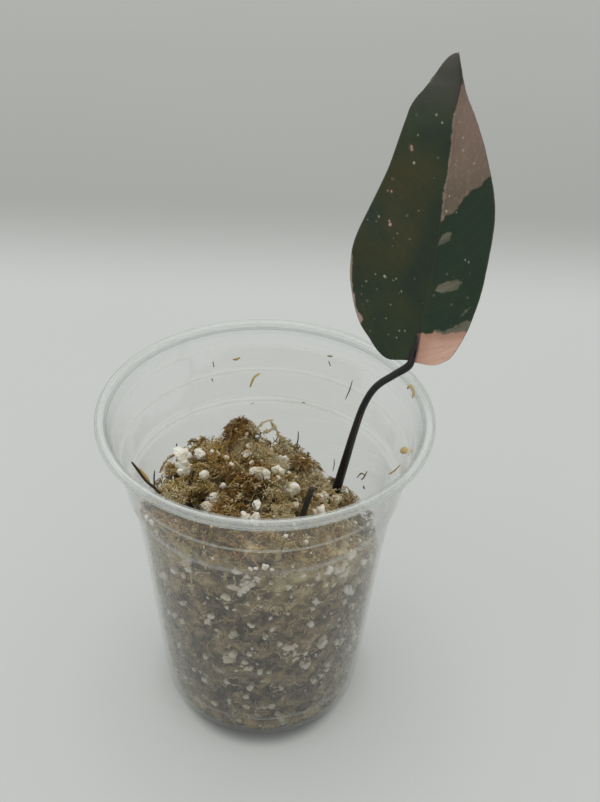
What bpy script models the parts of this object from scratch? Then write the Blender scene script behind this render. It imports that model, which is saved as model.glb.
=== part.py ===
# A pink princess philodendron cutting in a clear plastic cup of sphagnum moss and perlite.
# The cup stands on z = 0 with its axis on Z. +X is to the right and -Y is towards the viewer.
# Sizes are in millimetres, and each mesh is turned into metres when its object is made.

import bmesh
import bpy
import numpy as np
from mathutils import Vector, noise

MM = 0.001
SEED = 26

# Cup: the sheet's outer skin as (radius, height), from under the lip down to the middle of the foot.
CUP_STEPS = 40
CUP_WALL = 0.6
LIP_CENTRE = (47.4, 105.4)
LIP_HOLLOW = 1.0
LIP_ANGLES = (-60, 180)
LIP_POINTS = 7
CUP_SKIN = [
    (45.6, 103.4), (44.4, 100.6), (43.7, 99.4), (42.9, 92.0), (42.2, 90.6), (41.2, 83.0),
    (40.8, 81.8), (39.5, 79.4), (38.4, 71.0), (37.0, 60.0), (32.6, 10.0), (32.0, 8.4),
    (31.6, 3.0), (31.2, 1.0), (30.4, 0.2), (29.5, 0.0), (0.0, 0.0),
]

# Growing mix: heights of the heap at (x, y), the clearance to the cup, and the core's depth behind it.
HEAP = [
    (-7.5, 8.5, 96.5), (-18, -2, 91), (0, -8, 90), (-26, -2, 88), (-29, -14, 86.5), (-27, -27, 87),
    (-20, -24, 86), (0, -33, 85), (12, -15, 81.5), (18, -27, 79), (11, 10, 80), (22, 4, 74),
    (35, -14, 66), (37, 0, 54), (32, 20, 48), (25, 25, 52), (14, 22, 66), (-3, 34, 66), (-20, 11, 86),
    (-22, 30, 60), (-34, 17, 57), (-37, -3, 62), (-12, 24, 74),
]
HEAP_SOFTNESS = 6.0
HEAP_REACH = 35.0
LUMP_RISE = 0.25
MIX_CLEARANCE = 0.4
MIX_FOOT = (29.6, 1.0)
MIX_FOOT_TOP = 2.5
MIX_CEILING = 130.0
CORE_DEPTH = 1.5
CORE_AROUND = 36
CORE_SIDE_RINGS = 7
CORE_TOP_SHARES = (0.95, 0.87, 0.77, 0.66, 0.54, 0.42, 0.3, 0.18, 0.07)
CORE_LUMP = 2.4
CORE_LUMP_SIZE = 4.5

# The larger perlite lumps of the heap: (x, y, radius).
BIG_LUMPS = [
    (-24.8, 0.3, 3.1), (-19.2, 0.1, 1.8), (-17.6, -7.8, 1.5), (-5.6, 1.2, 1.8), (5.3, 8.3, 1.9),
    (-1.1, -7.2, 2.3), (4.2, -3.4, 1.8), (-14.5, -15.0, 2.0), (-16.3, -19.0, 2.1),
    (-2.1, -17.1, 1.9), (-4.3, -21.3, 2.1), (8.4, -8.4, 2.5), (9.5, -12.5, 1.7),
    (16.5, -13.8, 1.5), (23.0, -2.2, 1.9), (18.2, 0.5, 2.7),
]
GRAIN_CORNERS = (0.8, 1.15)
GRAIN_STRETCH = (0.75, 1.15)
SMALL_LUMPS_ON_TOP = 38
SMALL_LUMP_RADII = (0.8, 1.5)
MOSS_CLODS = 36
MOSS_CLOD_RADII = (1.6, 3.2)
LUMPS_AT_WALL = 44
WALL_LUMP_RADII = (1.1, 2.4)
WALL_LUMP_SINK = 0.75
WALL_MARGIN = 5.0

# Moss strands: how many lie on the heap, stand in its top tuft and lie behind the wall.
STRANDS_ON_TOP = 40
STRANDS_IN_TUFT = 12
STRANDS_AT_WALL = 20
STRAND_RADIUS = 0.6
STRAND_TAPER = 0.6
STRAND_PIECES = 3
STRAND_ROOT = 1.5
STRAND_LENGTHS = (5.0, 10.0)
STRAND_TURNS = (1.0, 3.0)
STRAND_RISE = 0.9
TUFT_CENTRE = (-8.5, 7.5)
TUFT_RADIUS = 2.2
TUFT_SPREAD = 0.7
TUFT_LENGTHS = (4.0, 7.0)
WALL_STRAND_OUTWARD = 0.45
BARK_STICK = [(-39.0, 0.9, 84.5), (-36.0, -5.5, 86.0), (-31.6, -12.4, 87.0), (-27.9, -15.1, 86.0)]
MOSS_CURL = [(-2.5, 8.0, 91.5), (-1.2, 8.5, 96.0), (1.2, 9.0, 97.0), (3.2, 8.7, 94.0), (3.2, 8.0, 81.0)]

# Stem cutting: a buried length of vine with two nodes, the cut stub of an old stalk, and roots.
NODE_BELOW_LEAF = (21.0, 6.0, 62.0)
NODE_BELOW_STUB = (11.0, -16.6, 68.5)
VINE = [(25.0, 11.5, 60.8), NODE_BELOW_LEAF, (16.0, -5.3, 65.6), NODE_BELOW_STUB, (8.8, -21.0, 69.4)]
VINE_RADII = [2.1, 3.2, 2.3, 3.1, 2.0]
STUB = [(10.4, -17.0, 68.5), (10.9, -17.2, 80.0), (13.9, -16.0, 92.6)]
STUB_RADII = [1.3, 0.95, 0.9]
ROOTS = [
    [(21, 6, 61), (24, 11, 48), (21, 17, 34), (25, 13, 19), (22, 6, 8)],
    [(20, 4, 61), (14, 1, 47), (17, -7, 33), (11, -3, 18)],
    [(11, -17, 67), (5, -21, 51), (10, -24, 36), (3, -21, 22), (6, -14, 12)],
    [(10, -16, 67), (1, -10, 54), (-8, -12, 42), (-14, -6, 30)],
]
ROOT_RADII = (1.1, 0.5)

# Petiole: its centre line from the buried node to the blade, and its radius along it.
PETIOLE = [
    (21.3, 6.2, 65.9), (22.8, 6.1, 74.4), (24.3, 6.0, 82.6), (26.5, 6.0, 94.5), (28.8, 6.0, 104.4),
    (31.9, 5.9, 111.1), (36.7, 5.7, 115.5), (40.0, 5.4, 118.3), (41.2, 5.3, 119.9),
]
PETIOLE_RADII = [1.55, 1.4, 1.3, 1.15, 1.05, 1.05, 1.05, 1.05, 1.1]
PETIOLE_BURIED = 5
HOLE_CLEARANCE = 0.35

# Leaf blade: the midrib in space, then each edge as (distance from the midrib, distance along it).
MIDRIB = [
    (41.5, 5.6, 120.6), (43.1, 8.0, 126.5), (45.3, 12.1, 139.0), (47.2, 16.8, 152.0),
    (48.6, 22.4, 167.0), (49.8, 28.0, 180.0), (51.4, 32.0, 189.5), (51.7, 33.8, 194.0), (50.2, 36.0, 199.6),
]
LEFT_EDGE = [
    (1.2, 0.0), (6.6, -1.6), (10.5, -0.3), (14.6, 3.2), (18.3, 7.0), (22.2, 12.9), (25.0, 19.0),
    (25.5, 25.0), (24.6, 31.4), (21.7, 43.0), (17.0, 54.7), (14.4, 65.8), (13.7, 69.4), (12.2, 72.6),
    (10.1, 75.8), (8.6, 79.8), (6.7, 82.5), (4.4, 84.1), (2.0, 85.5), (0.4, 86.2),
]
RIGHT_EDGE = [
    (1.2, 0.0), (7.8, 0.9), (11.9, 3.6), (14.8, 9.7), (16.8, 18.1), (19.0, 28.3), (20.2, 39.3),
    (19.9, 50.2), (17.1, 59.7), (13.8, 65.8), (10.2, 70.2), (6.6, 73.4), (4.0, 75.9), (2.4, 78.6),
    (2.0, 81.5), (1.8, 84.0), (0.4, 86.2),
]
BLADE_THICKNESS = 0.6
BLADE_ROWS = 30
BLADE_COLUMNS = (0, 0.05, 0.16, 0.35, 0.58, 0.8, 1)
BLADE_ROW_CROWDING = 1.5
FACING = (38.0, 58.0)
FOLD = (15.0, 30.0)
CURVE_STEPS = 12
ARCH = 0.0035
WAVE = (0.7, 26.0, 22.0)
RIDGE = (1.0, 0.25)


def clear_scene():
    for thing in list(bpy.data.objects):
        bpy.data.objects.remove(thing, do_unlink=True)


def material(name, colour, roughness, alpha=1.0, transmission=0.0):
    made = bpy.data.materials.new(name)
    made.use_nodes = True
    shader = made.node_tree.nodes["Principled BSDF"]
    shader.inputs["Base Color"].default_value = (*colour, 1.0)
    shader.inputs["Roughness"].default_value = roughness
    shader.inputs["Metallic"].default_value = 0.0
    shader.inputs["Alpha"].default_value = alpha
    shader.inputs["Transmission Weight"].default_value = transmission
    return made


def new_object(name, points, faces, finish):
    # Points come in millimetres. The faces are turned to point out of the closed body.
    mesh = bpy.data.meshes.new(name)
    mesh.from_pydata((np.asarray(points, float) * MM).tolist(), [], faces)
    work = bmesh.new()
    work.from_mesh(mesh)
    bmesh.ops.recalc_face_normals(work, faces=work.faces)
    work.to_mesh(mesh)
    work.free()
    mesh.materials.append(finish)
    made = bpy.data.objects.new(name, mesh)
    bpy.context.scene.collection.objects.link(made)
    return made


def shade_round(thing, angle=40.0):
    thing.data.shade_smooth()
    thing.data.set_sharp_from_angle(angle=np.radians(angle))


def curve_through(points, steps):
    # A Catmull-Rom curve through the points, with the same number of steps in each span.
    points = np.asarray(points, float)
    padded = np.vstack([2 * points[0] - points[1], points, 2 * points[-1] - points[-2]])
    t = np.linspace(0, 1, steps, endpoint=False)[:, None]
    spans = []
    for a, b, c, d in zip(padded, padded[1:], padded[2:], padded[3:]):
        spans.append(0.5 * (2 * b + (c - a) * t + (2 * a - 5 * b + 4 * c - d) * t**2
                            + (3 * b - a - 3 * c + d) * t**3))
    return np.vstack([*spans, points[-1:]])


def unit(vectors):
    return vectors / np.linalg.norm(vectors, axis=-1, keepdims=True)


def skin_over(rings):
    # Quads between neighbouring rings of points, and one flat face over each end.
    count, around = rings.shape[:2]
    faces = []
    for i in range(count - 1):
        for j in range(around):
            k = (j + 1) % around
            faces.append((i * around + j, i * around + k, (i + 1) * around + k, (i + 1) * around + j))
    faces.append(tuple(range(around))[::-1])
    faces.append(tuple(range((count - 1) * around, count * around)))
    return rings.reshape(-1, 3), faces


def tube(name, points, radii, finish, sides=8, steps=2):
    # A round bar along a smooth curve. The section's first direction is carried along the curve.
    centres = curve_through(points, steps)
    thickness = curve_through(np.asarray(radii, float)[:, None], steps)[:, 0]
    along = unit(np.gradient(centres, axis=0))
    across = np.cross(along[0], (0.3, 0.9, 0.2))
    turns = np.arange(sides) * 2 * np.pi / sides
    rings = []
    for centre, radius, direction in zip(centres, thickness, along):
        across = unit(across - direction * across.dot(direction))
        other = np.cross(direction, across)
        rings.append(centre + radius * (np.cos(turns)[:, None] * across + np.sin(turns)[:, None] * other))
    return new_object(name, *skin_over(np.array(rings)), finish)


def combine(target, others, operation):
    # One Boolean of the target with a collection of closed bodies, applied, with the bodies removed.
    group = bpy.data.collections.new("operands")
    bpy.context.scene.collection.children.link(group)
    for other in others:
        group.objects.link(other)
    modifier = target.modifiers.new("combine", "BOOLEAN")
    modifier.operation = operation
    if len(others) == 1:
        modifier.object = others[0]
    else:
        modifier.operand_type = "COLLECTION"
        modifier.collection = group
    evaluated = target.evaluated_get(bpy.context.evaluated_depsgraph_get())
    joined = bpy.data.meshes.new_from_object(evaluated)
    target.modifiers.clear()
    target.data = joined
    for other in others:
        bpy.data.objects.remove(other, do_unlink=True)
    bpy.data.collections.remove(group)


def keep_main_body(thing):
    # Drops loose scraps and fills sealed hollows: both are shells apart from the largest one.
    work = bmesh.new()
    work.from_mesh(thing.data)
    unseen = set(work.verts)
    shells = []
    while unseen:
        shell, edge = set(), [unseen.pop()]
        while edge:
            vert = edge.pop()
            shell.add(vert)
            near = {e.other_vert(vert) for e in vert.link_edges} & unseen
            unseen -= near
            edge.extend(near)
        shells.append(shell)
    shells.sort(key=len)
    bmesh.ops.delete(work, geom=[vert for shell in shells[:-1] for vert in shell], context="VERTS")
    bmesh.ops.triangulate(work, faces=work.faces)
    work.to_mesh(thing.data)
    work.free()


def cup_radius(height):
    # The radius of the sheet's outer skin at a height.
    radii, heights = np.array(CUP_SKIN[::-1]).T
    return np.interp(height, heights, radii)


def make_cup(finish):
    # The skin is turned about Z, and the sheet's thickness goes inward, which is outward on the curl.
    angles = np.radians(np.linspace(*LIP_ANGLES, LIP_POINTS))
    curl = np.array(LIP_CENTRE) + LIP_HOLLOW * np.stack([np.cos(angles), np.sin(angles)], axis=1)
    skin = [*curl.tolist(), *CUP_SKIN]
    mesh = bpy.data.meshes.new("cup")
    points = [(radius * MM, 0, height * MM) for radius, height in skin]
    mesh.from_pydata(points, [(i, i + 1) for i in range(len(skin) - 1)], [])
    mesh.materials.append(finish)
    made = bpy.data.objects.new("cup", mesh)
    bpy.context.scene.collection.objects.link(made)
    turn = made.modifiers.new("turn", "SCREW")
    turn.steps = turn.render_steps = CUP_STEPS
    turn.use_merge_vertices = True
    turn.merge_threshold = 0.01 * MM
    sheet = made.modifiers.new("sheet", "SOLIDIFY")
    sheet.thickness = CUP_WALL * MM
    sheet.offset = -1
    sheet.use_even_offset = True
    return made


def heap_height(x, y):
    # The heights in HEAP blended by their distance from the point.
    x, y = np.asarray(x, float)[..., None], np.asarray(y, float)[..., None]
    heap = np.array(HEAP, float)
    weight = ((x - heap[:, 0]) ** 2 + (y - heap[:, 1]) ** 2 + HEAP_SOFTNESS) ** -1.5
    return (weight * heap[:, 2]).sum(-1) / weight.sum(-1)


def mix_radius(height):
    return cup_radius(height) - CUP_WALL - MIX_CLEARANCE


def make_core(finish):
    # Rings of points: up the side behind the wall, then in over the heap to its middle.
    turns = np.arange(CORE_AROUND) * 2 * np.pi / CORE_AROUND
    out = np.stack([np.cos(turns), np.sin(turns)], axis=1)
    edge = HEAP_REACH * out
    top = heap_height(edge[:, 0], edge[:, 1])
    rings = []
    for share in np.linspace(0, 1, CORE_SIDE_RINGS):
        height = MIX_FOOT[1] + share * (top - MIX_FOOT[1])
        radius = mix_radius(height) - CORE_DEPTH
        rings.append(np.column_stack([radius[:, None] * out, height]))
    rim = rings[-1][:, :2]
    for share in CORE_TOP_SHARES:
        flat = rim * share
        rings.append(np.column_stack([flat, heap_height(*flat.T)]))
    rings = np.array(rings)
    for i, ring in enumerate(rings[1:], start=1):
        for point in ring:
            lump = CORE_LUMP * noise.noise(Vector(point / CORE_LUMP_SIZE))
            if i < CORE_SIDE_RINGS:
                point[:2] *= 1 - abs(lump) / mix_radius(point[2])
            else:
                point[2] += lump
    return new_object("growing_mix", *skin_over(rings), finish)


def make_lump(centre, radius, rng, finish):
    # A grain of perlite or a clod of moss: a twenty-sided ball with its corners moved at random.
    work = bmesh.new()
    bmesh.ops.create_icosphere(work, subdivisions=1, radius=1)
    points = np.array([vert.co for vert in work.verts])
    faces = [tuple(vert.index for vert in face.verts) for face in work.faces]
    work.free()
    corners = rng.uniform(*GRAIN_CORNERS, (len(points), 1))
    stretch = radius * rng.uniform(*GRAIN_STRETCH, 3)
    return new_object("lump", points * corners * stretch + centre, faces, finish)


def turned(vector, axis, angle):
    # A vector turned about a unit axis, by Rodrigues' formula.
    return (vector * np.cos(angle) + np.cross(axis, vector) * np.sin(angle)
            + axis * axis.dot(vector) * (1 - np.cos(angle)))


def make_strand(root, direction, lengths, rng, finish):
    # A three-sided strand that starts inside the mix and curls evenly about a random axis.
    length, turn = rng.uniform(*lengths), rng.uniform(*STRAND_TURNS)
    axis = unit(np.cross(direction, rng.normal(size=3)))
    points = [root]
    for _ in range(STRAND_PIECES):
        points.append(points[-1] + unit(direction) * length / STRAND_PIECES)
        direction = turned(direction, axis, turn / STRAND_PIECES)
    radii = STRAND_RADIUS * np.linspace(1, STRAND_TAPER, STRAND_PIECES + 1)
    return tube("strand", points, radii, finish, sides=3, steps=1)


def spot_on_heap(rng):
    # A random place on the heap, all parts of it being equally likely.
    angle = rng.uniform(0, 2 * np.pi)
    reach = HEAP_REACH * np.sqrt(rng.uniform(0, 1))
    return reach * np.cos(angle), reach * np.sin(angle)


def spot_at_wall(rng):
    # A random direction out from the axis and a height below the heap's edge there.
    angle = rng.uniform(0, 2 * np.pi)
    out = np.array([np.cos(angle), np.sin(angle), 0.0])
    return out, rng.uniform(WALL_MARGIN, heap_height(*HEAP_REACH * out[:2]) - WALL_MARGIN)


def place_lumps(rng, perlite, moss):
    spots = list(BIG_LUMPS)
    spots += [(*spot_on_heap(rng), rng.uniform(*SMALL_LUMP_RADII)) for _ in range(SMALL_LUMPS_ON_TOP)]
    clods = [(*spot_on_heap(rng), rng.uniform(*MOSS_CLOD_RADII)) for _ in range(MOSS_CLODS)]
    lumps = []
    for group, finish in ((spots, perlite), (clods, moss)):
        for x, y, radius in group:
            centre = np.array([x, y, heap_height(x, y) + LUMP_RISE * radius])
            lumps.append(make_lump(centre, radius, rng, finish))
    for _ in range(LUMPS_AT_WALL):
        out, height = spot_at_wall(rng)
        radius = rng.uniform(*WALL_LUMP_RADII)
        centre = (mix_radius(height) - WALL_LUMP_SINK * radius) * out + (0, 0, height)
        lumps.append(make_lump(centre, radius, rng, perlite))
    return lumps


def place_strands(rng, finish):
    strands = []
    for _ in range(STRANDS_ON_TOP):
        x, y = spot_on_heap(rng)
        root = np.array([x, y, heap_height(x, y) - STRAND_ROOT])
        lean = np.array([rng.normal(), rng.normal(), STRAND_RISE])
        strands.append(make_strand(root, lean, STRAND_LENGTHS, rng, finish))
    for i in range(STRANDS_IN_TUFT):
        angle = 2 * np.pi * i / STRANDS_IN_TUFT
        out = np.array([np.cos(angle), np.sin(angle)])
        spot = TUFT_CENTRE + TUFT_RADIUS * out
        root = np.array([*spot, heap_height(*spot) - STRAND_ROOT])
        strands.append(make_strand(root, np.array([*TUFT_SPREAD * out, 1]), TUFT_LENGTHS, rng, finish))
    for _ in range(STRANDS_AT_WALL):
        out, height = spot_at_wall(rng)
        along = np.array([-out[1], out[0], 0.0])
        root = out * (mix_radius(height) - CORE_DEPTH - STRAND_RADIUS) + (0, 0, height)
        lean = WALL_STRAND_OUTWARD * out + rng.uniform(-1, 1) * along + (0, 0, rng.uniform(-1, 1))
        strands.append(make_strand(root, lean, STRAND_LENGTHS, rng, finish))
    strands.append(tube("stick", BARK_STICK, [0.9, 0.9, 0.8, 0.6], finish, sides=5, steps=1))
    strands.append(tube("curl", MOSS_CURL, [0.7, 0.65, 0.6, 0.6, 0.6], finish, sides=4, steps=2))
    return strands


def make_envelope(finish):
    # The space inside the cup that the mix may fill, with a ceiling far above the heap.
    turns = np.arange(CUP_STEPS) * 2 * np.pi / CUP_STEPS
    profile = [MIX_FOOT]
    for radius, height in CUP_SKIN[::-1]:
        if height > MIX_FOOT_TOP:
            profile.append((radius - CUP_WALL - MIX_CLEARANCE, height))
    profile.append((profile[-1][0], MIX_CEILING))
    radii, heights = np.array(profile).T[..., None]
    rings = np.stack([radii * np.cos(turns), radii * np.sin(turns), heights + 0 * turns], axis=-1)
    return new_object("envelope", *skin_over(rings), finish)


def stem_pieces(clearance, finish):
    # The vine, the stub and the roots, fatter by the clearance when they cut their hole in the mix.
    fat = np.array(VINE_RADII) + clearance
    pieces = [tube("vine", VINE, fat, finish, sides=10, steps=3)]
    pieces.append(tube("stub", STUB, np.array(STUB_RADII) + clearance, finish, sides=8, steps=2))
    for points in ROOTS:
        radii = np.linspace(*ROOT_RADII, len(points)) + clearance
        pieces.append(tube("root", points, radii, finish, sides=5, steps=2))
    return pieces


def make_stem_cutting(finish):
    vine, *rest = stem_pieces(0.0, finish)
    vine.name = "stem_cutting"
    combine(vine, rest, "UNION")
    keep_main_body(vine)
    shade_round(vine)
    return vine


def make_petiole(finish):
    made = tube("petiole", PETIOLE, PETIOLE_RADII, finish, sides=10, steps=3)
    shade_round(made)
    return made


def make_growing_mix(finish, lump_finish, hidden):
    rng = np.random.default_rng(SEED)
    mix = make_core(finish)
    combine(mix, place_lumps(rng, lump_finish, finish) + place_strands(rng, finish), "UNION")
    combine(mix, [make_envelope(hidden)], "INTERSECT")
    hole = stem_pieces(HOLE_CLEARANCE, hidden)
    radii = np.array([PETIOLE_RADII[0], *PETIOLE_RADII[:PETIOLE_BURIED]]) + HOLE_CLEARANCE
    hole.append(tube("hole", [NODE_BELOW_LEAF, *PETIOLE[:PETIOLE_BURIED]], radii, hidden, sides=10))
    combine(mix, hole, "DIFFERENCE")
    keep_main_body(mix)
    return mix


def measured_curve(points):
    # A smooth curve through the points, and the distance along it to each of its own points.
    line = curve_through(points, CURVE_STEPS)
    return line, np.concatenate([[0], np.cumsum(np.linalg.norm(np.diff(line, axis=0), axis=1))])


def blade_points(across, along):
    # A point of the folded blade. The fold lifts both halves, the arch lowers their edges, and a
    # slow wave runs along them. The blade turns and folds more towards its tip.
    line, lengths = measured_curve(MIDRIB)
    tangents = unit(np.gradient(line, axis=0))
    held = np.clip(along, 0, lengths[-1])
    centre = np.stack([np.interp(held, lengths, line[:, i]) for i in range(3)], axis=-1)
    forward = unit(np.stack([np.interp(held, lengths, tangents[:, i]) for i in range(3)], axis=-1))
    share = (held / lengths[-1]) ** 2
    facing = np.radians(FACING[0] + (FACING[1] - FACING[0]) * share)
    fold = np.radians(FOLD[0] + (FOLD[1] - FOLD[0]) * share)[..., None]
    level = np.stack([np.cos(facing), -np.sin(facing), np.zeros_like(facing)], axis=-1)
    side = unit(level - (level * forward).sum(-1, keepdims=True) * forward)
    front = np.cross(side, forward)
    across, along = across[..., None], along[..., None]
    height, period, width = WAVE
    lift = np.sin(fold) * abs(across) - ARCH * across**2
    lift = lift + height * np.sin(2 * np.pi * along / period) * (across / width) ** 2
    return centre + (along - held[..., None]) * forward + np.cos(fold) * across * side + lift * front


def along_outline(edge, shares):
    # Points of a smooth edge at shares of its length.
    line, lengths = measured_curve(edge)
    return [np.interp(shares * lengths[-1], lengths, line[:, i]) for i in range(2)]


def blade_grid():
    # Rows run from the left edge to the right edge, closer together near the base.
    shares = np.linspace(0, 1, BLADE_ROWS)
    columns = np.array(BLADE_COLUMNS)
    middle = shares**BLADE_ROW_CROWDING * measured_curve(MIDRIB)[1][-1]
    halves = []
    for edge, sign in ((LEFT_EDGE, -1), (RIGHT_EDGE, 1)):
        width, reach = along_outline(edge, shares)
        across = sign * width[:, None] * columns
        along = middle[:, None] + (reach - middle)[:, None] * columns
        halves.append((across, along))
    across = np.hstack([halves[0][0][:, :0:-1], halves[1][0]])
    along = np.hstack([halves[0][1][:, :0:-1], halves[1][1]])
    return across, along


def make_leaf_blade(finish):
    # Two equal sheets of triangles, front and back, joined round the edge. A ridge runs down the back.
    across, along = blade_grid()
    sheet = blade_points(across, along)
    normal = unit(np.cross(np.gradient(sheet, axis=1), np.gradient(sheet, axis=0)))
    share = np.clip(along / along.max(), 0, 1)
    ridge = (RIDGE[0] + (RIDGE[1] - RIDGE[0]) * share) * (across == 0)
    front = sheet + normal * BLADE_THICKNESS / 2
    back = sheet - normal * (BLADE_THICKNESS / 2 + ridge)[..., None]
    rows, columns = across.shape
    size = rows * columns
    index = np.arange(size).reshape(rows, columns)
    faces = []
    for a, b, c, d in zip(index[:-1, :-1].flat, index[:-1, 1:].flat, index[1:, 1:].flat, index[1:, :-1].flat):
        faces += [(a, b, c), (a, c, d), (size + c, size + b, size + a), (size + d, size + c, size + a)]
    rim = [*index[0], *index[1:, -1], *index[-1, -2::-1], *index[-2:0:-1, 0]]
    for a, b in zip(rim, rim[1:] + rim[:1]):
        faces += [(b, a, size + a), (b, size + a, size + b)]
    faces = [tuple(int(i) for i in face) for face in faces]
    made = new_object("leaf_blade", np.vstack([front.reshape(-1, 3), back.reshape(-1, 3)]), faces, finish)
    shade_round(made)
    return made


clear_scene()
clear_plastic = material("clear_plastic", (0.86, 0.89, 0.89), 0.08, alpha=0.35, transmission=0.9)
moss_brown = material("moss_brown", (0.16, 0.10, 0.045), 0.9)
perlite_white = material("perlite_white", (0.72, 0.69, 0.62), 0.85)
vine_brown = material("vine_brown", (0.06, 0.05, 0.03), 0.6)
petiole_purple = material("petiole_purple", (0.02, 0.015, 0.018), 0.35)
leaf_green = material("leaf_green", (0.03, 0.055, 0.035), 0.4)

make_cup(clear_plastic)
make_stem_cutting(vine_brown)
make_petiole(petiole_purple)
make_leaf_blade(leaf_green)
make_growing_mix(moss_brown, perlite_white, vine_brown)
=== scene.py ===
# A pink princess philodendron cutting in a clear cup of sphagnum moss and perlite.
# Sizes in the dictionaries are millimetres, and meshPiece turns them into metres.
from math import radians
import bpy
import numpy as np
from mathutils import Matrix, Vector


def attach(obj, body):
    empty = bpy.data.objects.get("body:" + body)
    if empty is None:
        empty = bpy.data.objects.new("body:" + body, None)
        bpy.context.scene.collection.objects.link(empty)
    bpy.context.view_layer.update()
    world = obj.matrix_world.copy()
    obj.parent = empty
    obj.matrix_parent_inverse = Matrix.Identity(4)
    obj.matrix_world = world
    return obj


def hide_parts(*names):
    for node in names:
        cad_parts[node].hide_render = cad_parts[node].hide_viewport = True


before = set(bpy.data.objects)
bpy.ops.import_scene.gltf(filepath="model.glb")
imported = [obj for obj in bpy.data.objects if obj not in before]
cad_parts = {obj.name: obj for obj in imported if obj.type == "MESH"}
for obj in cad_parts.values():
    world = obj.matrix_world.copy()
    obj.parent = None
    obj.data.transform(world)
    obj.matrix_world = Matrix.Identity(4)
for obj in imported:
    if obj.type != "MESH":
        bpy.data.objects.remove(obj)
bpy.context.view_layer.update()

mm = 0.001
anyPhase = 6.28  # upper end of a random angle, in radians
print("frame loaded")


# Shapes

def unit(vectors):
    # each vector divided by its length
    return vectors / np.linalg.norm(vectors, axis=-1, keepdims=True)


def outwardAt(turn):
    # level directions at these angles round Z
    return np.column_stack([np.cos(turn), np.sin(turn), 0 * turn])


def curveThrough(points, steps):
    # Catmull-Rom: each span is a cubic between two points, with its slopes from their neighbours
    points = np.asarray(points, float)
    padded = np.vstack([2 * points[0] - points[1], points, 2 * points[-1] - points[-2]])
    a, b, c, d = (padded[i:len(padded) - 3 + i, None] for i in range(4))
    t = np.linspace(0, 1, steps, endpoint=False)[None, :, None]
    spans = 0.5 * (2 * b + (c - a) * t + (2 * a - 5 * b + 4 * c - d) * t**2 + (3 * b - a - 3 * c + d) * t**3)
    return np.vstack([spans.reshape(-1, points.shape[1]), points[-1:]])


def measuredCurve(points, steps=12):
    # the smooth curve with the distance along it to each of its points
    line = curveThrough(points, steps)
    return line, np.concatenate([[0], np.cumsum(np.linalg.norm(np.diff(line, axis=0), axis=1))])


def waves(places, size, seed, count=48):
    # a soft random field from -1 to 1: the mean of sine waves in random directions about one size long
    dice = np.random.default_rng(seed)
    pushes = unit(dice.normal(size=(count, 3))) * dice.uniform(0.6, 1.5, (count, 1)) * 2 * np.pi / size
    return np.clip(np.sin(places @ pushes.T + dice.uniform(0, anyPhase, count)).sum(-1) / count**0.5, -1, 1)


def gridFaces(rows, columns, around=True):
    # quads between neighbouring rows of points, and also from the last column back to the first
    i, j = np.meshgrid(np.arange(rows - 1), np.arange(columns if around else columns - 1), indexing="ij")
    k = (j + 1) % columns
    row, above = i * columns, (i + 1) * columns
    return np.stack([row + j, row + k, above + k, above + j], -1).reshape(-1, 4)


def poleFaces(rings, sides):
    # triangles over a first point, rings of points and a last point, with the first point as number 0
    j = np.arange(sides)
    k = (j + 1) % sides
    last = rings * sides + 1
    quads = gridFaces(rings, sides) + 1
    return np.vstack([
        np.stack([0 * j, k + 1, j + 1], -1),
        quads[:, [0, 1, 2]], quads[:, [0, 2, 3]],
        np.stack([0 * j + last, last - sides + j, last - sides + k], -1),
    ])


def tubesAlong(paths, firsts, radii, sides, flat=1.0):
    # A pointed tube round each path. Its section is an ellipse: cos times the first direction plus
    # sin times flat times the second, and both are square to the path.
    along = unit(np.gradient(paths, axis=1))
    second = np.cross(along, firsts)
    turn = np.arange(sides) * 2 * np.pi / sides
    section = np.cos(turn)[:, None] * firsts[:, :, None] + flat * np.sin(turn)[:, None] * second[:, :, None]
    rings = paths[:, 1:-1, None] + radii[:, 1:-1, None, None] * section[:, 1:-1]
    count, steps = paths.shape[:2]
    points = np.concatenate([paths[:, :1], rings.reshape(count, -1, 3), paths[:, -1:]], axis=1)
    faces = poleFaces(steps - 2, sides)[None] + (np.arange(count) * points.shape[1])[:, None, None]
    return points.reshape(-1, 3), faces.reshape(-1, 3), np.repeat(np.arange(count), points.shape[1])


def tubeThrough(points, radii, sides, steps, flat=1.0):
    # One round tube on a smooth curve, closed by a point at each end. The section's first direction
    # is a fixed one with its part along the path taken away.
    path = curveThrough(points, steps)
    width = curveThrough(np.asarray(radii, float)[:, None], steps)[:, 0]
    path = np.vstack([path[:1], path, path[-1:]])
    path[0] -= unit(path[2] - path[1]) * width[0] * 0.5
    path[-1] += unit(path[-2] - path[-3]) * width[-1] * 0.5
    along = unit(np.gradient(path, axis=0))
    first = unit(np.array([0.2, 0.95, 0.1]) - along * (along @ [0.2, 0.95, 0.1])[:, None])
    width = np.concatenate([[0], width, [0]])
    return tubesAlong(path[None], first[None], width[None], sides, flat)[:2]


def joined(parts):
    # several meshes as one: their points one after another, and their faces counted on
    counts = np.cumsum([0] + [len(points) for points, faces in parts])
    faces = [faces + count for (points, faces), count in zip(parts, counts)]
    return np.vstack([points for points, faces in parts]), np.vstack(faces)


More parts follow.
